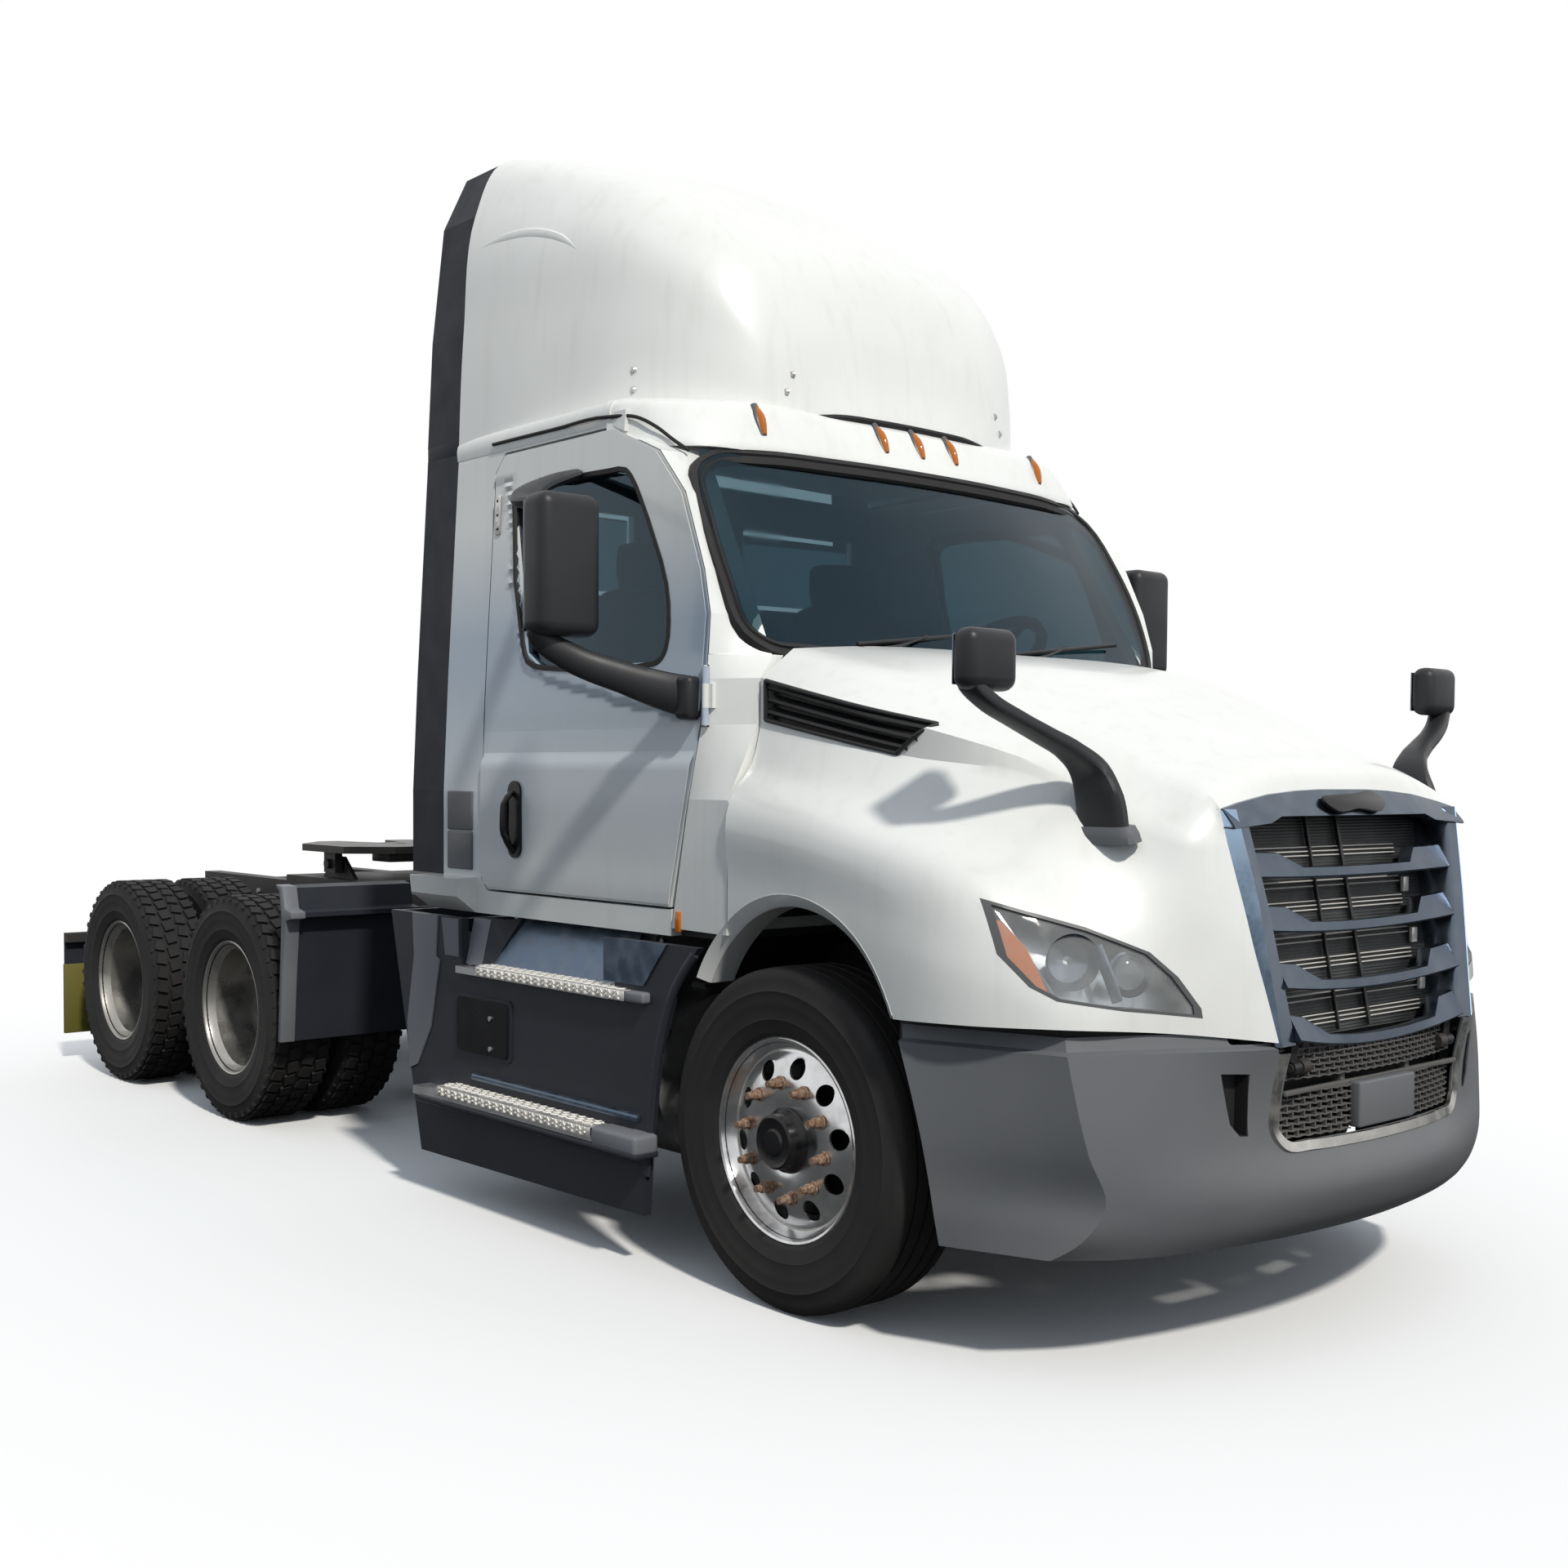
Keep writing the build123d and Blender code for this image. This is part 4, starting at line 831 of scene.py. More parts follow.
# %% Inner arches and hinge arms
rows = [[(ARCH.x + ARCH_LINER * math.cos(a), -y, ARCH.z + ARCH_LINER * math.sin(a)) for y in (1.10, 0.58)]
        for a in (math.radians(22 + 8.5 * k) for k in range(17))]
liner = thickened(grid_of(rows), 0.006, lambda p: Vector((0, 0, 1)))
copied(liner)
piece(liner, "arch_liners", black_plastic, "hood", "black_plastic")
arms = bmesh.new()
arm_outline = ((1.191, 0.786), (1.213, 0.786), (1.222, 0.895), (1.188, 0.892))
ARM_NEAR, ARM_FAR = 0.386, 0.419
for side in (-1, 1):
    side_prism(arms, arm_outline, ARM_NEAR, ARM_FAR, side)
    rod(arms, (at(1.215), side * ARM_NEAR, 0.80), (at(1.215), side * ARM_FAR, 0.80), 0.018)
piece(arms, "hood_arms", black_plastic, "hood", "frame_paint")

# %% Hood vents: a frame and four louvres each
def on_fender(side, x, z, sink=0.0):
    """Point on a fender's or the hood side's surface, sunk in by some depth."""
    return Vector((at(x), side * (fender_y(at(x), z) - sink), z))


vents = bmesh.new()
vent_top, vent_foot = vent_outline[:2], vent_outline[:1:-1]
louvre_profile = ((-0.030, 0.004), (-0.002, -0.006), (0.002, -0.014), (-0.004, -0.020))
for side in (-1, 1):
    slab(vents, [on_fender(side, x, z, 0.035) for x, z in vent_outline], (0, side * 0.006, 0))
    for share in (0.05, 0.36, 0.68):
        ends = [Vector(a).lerp(Vector(b), share) for a, b in zip(vent_top, vent_foot)]
        rows = []
        for k in range(9):
            spot = ends[0].lerp(ends[1], k / 8)
            skin = on_fender(side, spot.x, spot.y)
            rows.append([skin + Vector((0, side * out, drop)) for out, drop in louvre_profile])
        join(vents, thickened(grid_of(rows), 0.003, away_from_middle))
    rim = list(vent_outline) + [vent_outline[0]]
    for start, end in zip(rim, rim[1:]):
        spots = [Vector(start).lerp(Vector(end), share) for share in (0, 0.33, 0.67, 1)]
        tube(vents, [on_fender(side, v.x, v.y, -0.001) for v in spots], [(0.018, 0.014)] * 4, 3, 8)
piece(vents, "vent_louvres", black_plastic, "hood", "black_plastic", "hood_vents")

# %% [markdown]
# ## Bumper
# The bumper's upright sections follow the same helpers: a side part, a fold, then the broad front. A ledge
# runs along its top. The mouth holds two bands of honeycomb either side of a plain square cover.

# %% Bumper shell
# height, then (station, Y) of: wheel end, fold, corner, front quarter, chin, middle
bumper_levels = (
    (0.330, (0.630, 1.140), (0.915, 1.030), (1.040, 0.850), (1.125, 0.600), (1.180, 0.300), (1.200, 0)),
    (0.400, (0.622, 1.150), (1.000, 0.985), (1.105, 0.795), (1.190, 0.545), (1.250, 0.270), (1.268, 0)),
    (0.480, (0.612, 1.158), (1.033, 0.955), (1.140, 0.760), (1.225, 0.500), (1.285, 0.250), (1.300, 0)),
    (0.610, (0.595, 1.175), (1.014, 1.000), (1.125, 0.770), (1.205, 0.470), (1.240, 0.250), (1.255, 0)),
    (0.862, (0.515, 1.184), (0.970, 1.037), (1.108, 0.766), (1.225, 0.530), (1.260, 0.300), (1.268, 0)),
    (0.870, (0.512, 1.166), (0.955, 1.022), (1.088, 0.754), (1.205, 0.520), (1.240, 0.300), (1.248, 0)),
    (0.906, (0.505, 1.160), (0.945, 1.016), (1.080, 0.750), (1.198, 0.516), (1.234, 0.300), (1.242, 0)),
)


def bumper_rows():
    """Full-width rows of the bumper's face."""
    rows = [full_width([(at(x), y, z) for x, y in half]) for z, *half in bumper_levels]
    return woven(rows, 8, 5, (1, len(rows[0]) - 2), (4, 5))


def punch(die):
    """Cut an opening into the bumper's face."""
    cut(bumper, die, "DIFFERENCE", "FAST")


bumper = plain_object(thickened(grid_of(bumper_rows()), 0.006, away_from_middle), "bumper_shell")
# half width and floor of: the mouth, the step over it, the notch for the grille's foot
for half_width, low in ((0.452, 0.603), (0.50, 0.846), (0.62, 0.874)):
    die = bmesh.new()
    brick(die, (at(1.08), -half_width, low), (at(1.48), half_width, 1.0), 0.012)
    punch(die)
slot_outline = ((0.655, 0.803), (0.572, 0.798), (0.560, 0.632), (0.588, 0.634), (0.620, 0.668))
for side in (-1, 1):
    die = bmesh.new()
    slab(die, [(at(1.0), side * y, z) for y, z in slot_outline], (0.4, 0, 0))
    punch(die)
dress(bumper, bumper_grey, "chassis", "grey_plastic", "front_bumper")
bumper_tree = BVHTree.FromBMesh(grid_of(bumper_rows()))


def bumper_spot(y, z, out=0.0):
    """Point on the bumper's face, seen from the front."""
    hit = cast(bumper_tree, (5.0, y, z), (-1, 0, 0))
    return Vector(((hit.x if hit else at(1.2)) + out, y, z))


# %% Bumper trim: mouth rim, slot tubs, dark filler strips
trim = bmesh.new()
path = [(0.474, 0.846), (0.474, 0.72), (0.468, 0.635), (0.435, 0.598), (0.34, 0.590), (0.17, 0.588),
        (0, 0.588)]
path = full_width([(0, y, z) for y, z in path])
rim_profile = ((-0.016, -0.004), (-0.013, 0.007), (0.013, 0.007), (0.016, -0.004))
band(trim, [bumper_spot(y, z) for _, y, z in path], (1, 0, 0.2), rim_profile)
piece(trim, "mouth_rim", bumper_chrome, "chassis", "chrome_trim")
tubs = bmesh.new()
filler_line = ((0.505, 1.160), (0.735, 1.105), (0.945, 1.016), (1.02, 0.90), (1.065, 0.78))
for side in (-1, 1):
    slab(tubs, [bumper_spot(side * y, z, -0.055) for y, z in slot_outline], (0.012, 0, 0))
    for start, end in zip(slot_outline, slot_outline[1:] + slot_outline[:1]):
        corners = [bumper_spot(side * y, z, out)
                   for (y, z), out in ((start, -0.050), (end, -0.050), (end, -0.004), (start, -0.004))]
        slab(tubs, corners, (0, side * 0.003, 0.003))
    filler = [[(at(x - 0.03), side * (y - 0.022), z) for x, y in filler_line] for z in (0.86, 0.945)]
    join(tubs, thickened(grid_of(filler), 0.006, away_from_middle))
piece(tubs, "bumper_fillers", black_plastic, "chassis", "black_plastic")

# %% Honeycomb bands and the square cover
CELL, CELL_RISE, RIB, RIB_DEPTH = 0.042, 0.0168, 0.0042, 0.014


def mesh_x(y):
    """Station of the curved honeycomb at a Y."""
    return at(1.243 - 0.24 * y * y)


def honeycomb(bm, y_from, y_to, z_from, z_to):
    """Staggered cells: waved lines joined by short uprights."""

    def rib(corners):
        """One bar of the comb, from its (Y, Z) corners."""
        slab(bm, [(mesh_x(y), y, z) for y, z in corners], (-RIB_DEPTH, 0, 0))

    lines = round((z_to - z_from) / CELL_RISE)
    cells = round((y_to - y_from) / CELL)
    rise, width = (z_to - z_from) / lines, (y_to - y_from) / cells
    for row in range(lines + 1):
        z = z_from + row * rise
        for k in range(2 * cells):
            y0, y1 = y_from + k * width / 2, y_from + (k + 1) * width / 2
            wave = 0.0018 * (1 if (k + row) % 2 else -1)
            rib([(y0, z + wave - RIB / 2), (y1, z - wave - RIB / 2), (y1, z - wave + RIB / 2),
                 (y0, z + wave + RIB / 2)])
        if row == lines:
            continue
        for k in range(cells + 1):
            y = y_from + (k + (0.5 if row % 2 else 0)) * width
            if y > y_to:
                continue
            rib([(y - RIB / 2, z), (y + RIB / 2, z), (y + RIB / 2, z + rise), (y - RIB / 2, z + rise)])


combs = bmesh.new()
honeycomb(combs, -0.455, 0.455, 0.768, 0.862)
for side in (-1, 1):
    honeycomb(combs, *sorted((side * 0.150, side * 0.452)), 0.612, 0.730)
    side_brick(combs, side, (1.19, 1.222), (0.159, 0.181), (0.728, 0.772), 0.002)
brick(combs, (at(1.21), -0.45, 0.728), (at(1.224), 0.45, 0.742), 0.003)
piece(combs, "mouth_honeycomb", comb_grey, "chassis", "black_plastic", "bumper_mesh")
cover = bmesh.new()
brick(cover, (at(1.225), -0.145, 0.612), (at(1.262), 0.145, 0.738), 0.007, 3)
piece(cover, "square_cover", bumper_grey, "chassis", "grey_plastic")
backs = bmesh.new()
brick(backs, (at(1.125), -0.50, 0.60), (at(1.14), 0.50, 0.90))
piece(backs, "mouth_back", black_plastic, "chassis", "black_plastic")

# %% [markdown]
# ## Grille
# The surround leans back with the hood's nose. Four blades cross it, each a thin lip that sags towards the
# middle and opens into a facet at both ends. A dark screen, with stays and thin pipes before it, closes the
# back.

# %% Grille surround and badge plate
def nose_spot(y, z, out=0.0):
    """Point on the leaning nose, or ahead of it."""
    return Vector((at(nose_station(z)) + out, y, z))


def surround_y(z):
    """Half width of the surround at a height."""
    return 0.505 + (z - NOSE_FLOOR) * 0.1565


FRAME_LOW, FRAME_HIGH = 0.866, 1.486
surround, glints = bmesh.new(), bmesh.new()
for side in (-1, 1):
    rows, bevels = [], []
    for k in range(11):
        share = k / 10
        z = FRAME_LOW + (FRAME_HIGH - FRAME_LOW) * share
        y = surround_y(z)
        bevel = 0.004 + 0.024 * min(share * 1.6, 1)
        shine = ((-0.004, -0.010), (bevel, bevel + 0.002))
        frame_profile = ((-0.004, -0.014), (bevel, bevel), (0.074, bevel - 0.004), (0.079, bevel - 0.012),
                         (0.079, -0.088))
        bevels.append([nose_spot(side * (y - inward), z, out) for inward, out in shine])
        rows.append([nose_spot(side * (y - inward), z, out) for inward, out in frame_profile])
    join(surround, thickened(grid_of(rows), 0.004, forward))
    join(glints, thickened(grid_of(bevels), 0.003, lambda p: Vector((1, p.y, 0))))
# The bevel strip's sky-blue colour is a painted glint, the sky's reflection along the surround's edge.
piece(glints, "grille_bevels", sky_chrome, "hood", "chrome_trim")
# distance from the middle, top edge, lower edge of the bar
bar = ((0, 1.541, 1.464), (0.12, 1.541, 1.464), (0.24, 1.537, 1.464), (0.35, 1.529, 1.464),
       (0.375, 1.527, 1.464), (0.43, 1.519, 1.446), (0.52, 1.505, 1.440), (0.597, 1.490, 1.434))
rows = []
for y, top, low in [(-y, top, low) for y, top, low in reversed(bar[1:])] + list(bar):
    section = ((top, -0.012), (top - 0.004, 0.006), (low + 0.010, 0.034), (low + 0.002, 0.036),
               (low, 0.030), (low + 0.006, -0.05))
    rows.append([nose_spot(y, z, out) for z, out in section])
join(surround, thickened(grid_of(rows), 0.004, forward))
badge = flow([(-0.140, 1.519, 0), (0, 1.524, 0), (0.140, 1.519, 0), (0.158, 1.502, 0), (0.140, 1.486, 0),
              (0, 1.482, 0), (-0.140, 1.486, 0), (-0.158, 1.502, 0), (-0.140, 1.519, 0)], 5)
plate = bmesh.new()
slab(plate, [nose_spot(v.x, v.y, 0.013 + 0.43 * (1.537 - v.y)) for v in badge[:-1]], (0.010, 0, 0.003))
soften(plate, 0.002, None, 2, 40)
piece(plate, "badge_plate", gloss_black, "hood", "black_plastic")
piece(surround, "grille_surround", chrome, "hood", "chrome_trim", "grille_frame")

# %% Grille blades, screen, stays and pipes
# end station, end height, middle station, middle height
blades = ((1.183, 1.319, 1.160, 1.310), (1.216, 1.178, 1.186, 1.160), (1.240, 1.028, 1.222, 1.003),
          (1.258, 0.891, 1.247, 0.852))
slats = bmesh.new()
for end_x, end_z, mid_x, mid_z in blades:
    end_x = min(end_x, nose_station(end_z) + 0.022)
    rings = []
    reach = surround_y(end_z) - 0.076
    half = [reach, 0.40, 0.355, 0.280, 0.21, 0.14, 0.07]
    for y in [-v for v in half] + [0] + half[::-1]:
        sag = 1 - (y / reach) ** 2
        wing = min(max((abs(y) - 0.280) / 0.075, 0), 1)
        x, z = end_x + (mid_x - end_x) * sag, end_z + (mid_z - end_z) * sag
        lift, back = 0.013 + 0.038 * wing, 0.004 + 0.034 * wing
        rings.append([(at(x - 0.004), y, z - 0.015), (at(x), y, z - 0.010), (at(x - back), y, z + lift),
                      (at(x - back - 0.006), y, z + lift + 0.002),
                      (at(x - back - 0.040), y, z + lift - 0.004), (at(x - back - 0.040), y, z - 0.006)])
    join(slats, lofted(rings))
piece(slats, "grille_blades", slat_grey, "hood", "chrome_trim")
rows = [[nose_spot(y, z, -0.085) for y in (-0.55, 0, 0.55)] for z in (0.86, 1.16, 1.47)]
mesh = thickened(grid_of(rows), 0.004, forward)
piece(mesh, "grille_screen", screen, "hood", "black_plastic", "grille_mesh")
stays = bmesh.new()
for y, width in ((-0.10, 0.004), (0.06, 0.006)):
    ends = ((-width, 0.87), (width, 0.87), (width, 1.465), (-width, 1.465))
    slab(stays, [nose_spot(y + aside, z, -0.080) for aside, z in ends], (0.012, 0, 0))
piece(stays, "grille_stays", black_plastic, "hood", "black_plastic")
pipes = bmesh.new()
for _, end_z, _, mid_z in blades:
    for drop in (-0.045, -0.030, 0.040, 0.052, 0.064):
        z = mid_z + drop
        if z > 0.88:
            rod(pipes, nose_spot(-0.43, z, -0.078), nose_spot(0.36, z, -0.078), 0.0022, None, 8)
    if end_z < 1.3:
        corner = nose_spot(0.36, end_z + 0.055, -0.080)
        brick(pipes, corner, corner + Vector((0.012, 0.030, 0.045)), 0.003)
piece(pipes, "grille_pipes", dull_wheel, "hood", "chrome_trim")

# %% [markdown]
# ## Headlamps
# Each lamp is cut from the same surface as the hood, so that its lens runs on with the fender. A bezel, a
# lens, an amber corner, a pale tub, a bowl and a projector stack up behind it.

# %% Headlamps
def lamp_shell(shrink, thickness, die, hole=None):
    """Part of the hood's surface inside a lamp outline."""
    obj = plain_object(thickened(grid_of(hood_rows(shrink)), thickness, away_from_middle), "lamp")
    cut(obj, die, "INTERSECT")
    if hole:
        cut(obj, hole)
    return obj


def merged(objects, name):
    """Join a few objects' meshes into one."""
    bm = bmesh.new()
    for obj in objects:
        bm.from_mesh(obj.data)
        bpy.data.objects.remove(obj)
    return plain_object(bm, name)


amber_outline = ((-0.470, 1.003), (-0.527, 1.037), (-0.596, 1.116), (-0.622, 1.200), (-0.577, 1.200),
                 (-0.521, 1.127))


def lens_point(side, u, z, sink):
    """Point behind the lens, sunk along the lamp's aim."""
    aim = lamp_aim(side)
    start = lamp_spot(side, u, z, LAMP_FAR)
    mirrored = Vector((start.x, -abs(start.y), start.z))
    hit = cast(skin_tree, mirrored, (-aim.x, abs(aim.y), 0))
    return Vector((hit.x, side * abs(hit.y), hit.z)) - aim * sink, aim


bezels, lenses, ambers, tub_parts = [], [], [], []
bowls, bright = bmesh.new(), bmesh.new()
for side in (-1, 1):
    bezels.append(lamp_shell(0.0, 0.02, lamp_prism(side, 0.998), lamp_prism(side, 0.915)))
    lenses.append(lamp_shell(0.004, 0.003, lamp_prism(side, 0.93)))
    ambers.append(lamp_shell(0.008, 0.004, lamp_prism(side, 1.0, amber_outline)))
    tub_parts.append(lamp_shell(0.075, 0.006, lamp_prism(side, 0.99)))
    spot, aim = lens_point(side, -0.405, 1.095, 0.062)
    lathe(bowls, ((0.040, 0.074), (0.030, 0.070), (0.008, 0.055), (0.0, 0.030), (-0.004, 0.0)), spot, 32, aim)
    rod(bright, spot, spot + aim * 0.03, 0.012, 0.007, 16)
    spot, aim = lens_point(side, -0.245, 1.062, 0.060)
    lathe(bowls, ((0.030, 0.062), (0.034, 0.056), (0.018, 0.050), (0.010, 0.045)), spot, 32, aim)
    lathe(bright, ((0.010, 0.046), (0.026, 0.042), (0.038, 0.026), (0.042, 0.0)), spot, 32, aim)
    for start, end in (((-0.600, 1.228), (-0.470, 1.010)), ((-0.335, 1.135), (-0.285, 0.992))):
        points = [lens_point(side, *Vector(start).lerp(Vector(end), t), 0.026)[0] for t in (0, 0.5, 1)]
        tube(bowls, points, [(0.012, 0.03)] * 3, 4, 8)
dress(merged(bezels, "lamp_bezels"), dark_trim, "hood", "grey_plastic")
dress(merged(lenses, "lamp_lenses"), lens, "hood", "lamp_lens", "headlamps")
dress(merged(ambers, "lamp_corners"), amber, "hood", "amber_lens")
dress(merged(tub_parts, "lamp_tubs"), lamp_silver, "hood", "grey_plastic")
piece(bowls, "lamp_bowls", chrome, "hood", "chrome_trim")
piece(bright, "lamp_bulbs", bulb_glass, "hood", "lamp_lens")

# %% [markdown]
# ## Cab skins
# The roof fairing and the brow over the windscreen are smooth moulded shells. Each door gets its pressed
# outer skin, with a raised panel under the window and a crease that runs on into the fender.

# %% Roof fairing
# station, then (Y, Z) from the foot up to the middle
fairing_sections = (
    (-1.95, (1.060, 2.775), (1.040, 3.20), (0.990, 3.64), (0.890, 3.850), (0.600, 3.925), (0, 3.950)),
    (-1.50, (1.015, 2.780), (0.985, 3.20), (0.925, 3.55), (0.820, 3.715), (0.520, 3.800), (0, 3.835)),
    (-1.10, (0.905, 2.785), (0.890, 3.15), (0.840, 3.40), (0.735, 3.530), (0.420, 3.605), (0, 3.635)),
    (-0.82, (0.735, 2.790), (0.725, 3.02), (0.690, 3.18), (0.600, 3.290), (0.330, 3.355), (0, 3.380)),
    (-0.72, (0.600, 2.795), (0.590, 2.90), (0.560, 2.99), (0.500, 3.060), (0.260, 3.110), (0, 3.130)),
    (-0.680, (0.460, 2.797), (0.450, 2.83), (0.420, 2.86), (0.360, 2.885), (0.190, 2.905), (0, 2.915)),
    (-0.655, (0.300, 2.800), (0.290, 2.804), (0.260, 2.808), (0.210, 2.811), (0.110, 2.813), (0, 2.814)),
)
fairing_grid = woven([full_width([(at(x), y, z) for y, z in half]) for x, *half in fairing_sections], 7, 8)
fairing = thickened(grid_of(fairing_grid), 0.015, away_from_middle)
piece(fairing, "fairing_shell", white, "chassis", "white_paint", "roof_fairing")
fairing_tree = BVHTree.FromBMesh(grid_of(fairing_grid))


def fairing_spot(x, z, side, out=0.0):
    """Point on the fairing's side."""
    hit = cast(fairing_tree, (at(x), -RAY_START, z), (0, 1, 0))
    return Vector((at(x), side * (-hit.y + out), z))


fittings = bmesh.new()
for side in (-1, 1):
    for x, zs in ((-1.08, (2.875, 2.942)), (-0.70, (2.862, 2.924))):
        for z in zs:
            foot, head = (fairing_spot(x, z, side, out) for out in (-0.004, 0.007))
            rod(fittings, foot, head, 0.013, 0.009, 12)
piece(fittings, "fairing_screws", steel, "chassis", "brushed_aluminium")
beads = bmesh.new()
bead_line = ((-1.90, 3.50), (-1.75, 3.515), (-1.58, 3.50), (-1.45, 3.455), (-1.36, 3.40))
for side in (-1, 1):
    arc = [fairing_spot(x, z, side, -0.002) for x, z in bead_line]
    tube(beads, arc, [(0.004, 0.004), (0.012, 0.034), (0.014, 0.040), (0.012, 0.034), (0.004, 0.004)], 6, 10)
piece(beads, "fairing_beads", white, "chassis", "white_paint")
foot = bmesh.new()
foot_line = [(at(x - 0.004), half[0][0] - 0.012, half[0][1] - 0.010) for x, *half in fairing_sections[:-1]]
front = [(at(-0.655), 0.30, 2.800), (at(-0.648), 0.15, 2.803), (at(-0.646), 0, 2.804)]
path = full_width(foot_line + front)
tube(foot, path, [(0.018, 0.022)] * len(path), 6, 8)
piece(foot, "fairing_foot_seal", rubber, "chassis", "soft_rubber")

# %% Roof and brow
# half plan of the brow, from the door frame round to the middle, at the screen's head and at the lip
brow_low = ((-1.00, 1.063), (-0.860, 1.042), (-0.740, 1.000), (-0.668, 0.930), (-0.618, 0.720),
            (-0.574, 0.400), (-0.554, 0.180), (-0.549, 0))
brow_high = ((-1.00, 1.060), (-0.890, 1.016), (-0.805, 0.935), (-0.742, 0.850), (-0.686, 0.700),
             (-0.658, 0.400), (-0.646, 0.180), (-0.643, 0))
brow_levels = ((2.626, -0.12, -0.008), (2.636, 0.0, 0.0), (2.68, 0.28, 0.004), (2.74, 0.64, 0.004),
               (2.785, 0.94, 0.0), (2.802, 1.10, -0.010), (2.812, 1.3, -0.045), (2.817, 1.3, -0.20))
rows = []
for z, share, out in brow_levels:
    line = []
    for low, high in zip(brow_low, brow_high):
        x, y = Vector(low).lerp(Vector(high), share)
        y = max(y + out, 0) if low[1] else 0
        line.append((at(x + out), y, z))
    rows.append(full_width(line))
brow_grid = woven(rows, 5, 4)
brow = thickened(grid_of(brow_grid), 0.008, lambda p: Vector((p.x - at(-1.3), p.y, 0.3)))
roof_profile = ((1.062, 2.722), (1.063, 2.772), (1.052, 2.796), (1.015, 2.812), (0.80, 2.818), (0, 2.822))
rows = [full_width([(at(x), y, z) for y, z in roof_profile]) for x in (-1.955, -1.45, -0.98)]
join(brow, thickened(grid_of(woven(rows, 4, 3)), 0.008, lambda p: Vector((0, p.y, 1))))
piece(brow, "roof_skin", white, "chassis", "white_paint", "cab_roof")
brow_tree = BVHTree.FromBMesh(grid_of(brow_grid))
lights, bases = bmesh.new(), bmesh.new()
base_widths = ((0.030, 0.022), (0.042, 0.030), (0.026, 0.02))
light_widths = ((0.018, 0.02), (0.030, 0.036), (0.014, 0.016))
for y in (-0.69, -0.175, 0.0, 0.175, 0.69):
    low, high = (cast(brow_tree, (6.0, y, z), (-1, 0, 0)) for z in (2.688, 2.788))
    middle = (low + high) / 2
    tube(bases, [low - Vector((0.006, 0, 0.006)), middle, high + Vector((-0.004, 0, 0.006))], base_widths)
    tube(lights, [low, middle + Vector((0.008, 0, 0)), high], light_widths)
piece(bases, "marker_bases", dark_trim, "chassis", "dark_plastic")
piece(lights, "marker_lenses", amber, "chassis", "amber_lens", "marker_lamps")

# %% Door skins
DOOR_PROUD = 0.004
door_profile = flow([(1.105, 1.118, 0), (1.15, 1.125, 0), (1.30, 1.129, 0), (1.55, 1.131, 0),
                     (1.600, 1.130, 0), (1.645, 1.113, 0), (1.70, 1.1115, 0), (1.78, 1.1115, 0),
                     (1.95, 1.104, 0), (2.30, 1.084, 0), (2.72, 1.059, 0)], 6, (4,))
door_outline = ((-0.565, 1.158), (-0.475, 1.516), (-0.417, 1.80), (-0.410, 2.06), (-0.450, 2.20),
                (-0.565, 2.448), (-0.709, 2.596), (-0.962, 2.700), (-1.615, 2.700), (-1.668, 2.64),
                (-1.675, 2.60), (-1.675, 1.20), (-1.660, 1.168), (-1.625, 1.158))
window_outline = ((-0.66, 1.916), (-0.98, 1.920), (-1.30, 1.928), (-1.40, 1.955), (-1.435, 2.02),
                  (-1.53, 2.48), (-1.535, 2.53), (-1.500, 2.562), (-1.22, 2.566), (-0.95, 2.564),
                  (-0.868, 2.556), (-0.835, 2.530), (-0.775, 2.45), (-0.690, 2.310), (-0.615, 2.165),
                  (-0.592, 2.04), (-0.602, 1.960), (-0.625, 1.930))
# lower edge of the raised panel below the window
panel_edge = flow([(-1.545, 2.62, 0), (-1.50, 2.42, 0), (-1.44, 2.15, 0), (-1.385, 1.965, 0),
                   (-1.30, 1.90, 0), (-1.10, 1.855, 0), (-0.80, 1.80, 0), (-0.40, 1.74, 0)], 6)


def door_y(z):
    """Outer Y of the door's pressing at a height."""
    for low, high in zip(door_profile, door_profile[1:]):
        if low.x <= z <= high.x:
            share = (z - low.x) / max(high.x - low.x, 1e-9)
            return low.y + (high.y - low.y) * share
    return 1.118 if z < 1.2 else 1.059


def panel_step(x, z):
    """How far the raised panel stands out here."""
    spot = Vector((x, z, 0))
    near = min(panel_edge, key=lambda p: (p - spot).length)
    inside = (near - spot).x < 0 and z > 2.0 or z > near.y
    reach = (near - spot).length
    return min(max(0.5 + (reach if inside else -reach) / 0.016, 0), 1) * 0.007


grip_line = ((0.010, 1.29), (0.040, 1.34), (0.046, 1.42), (0.036, 1.48), (0.010, 1.50))
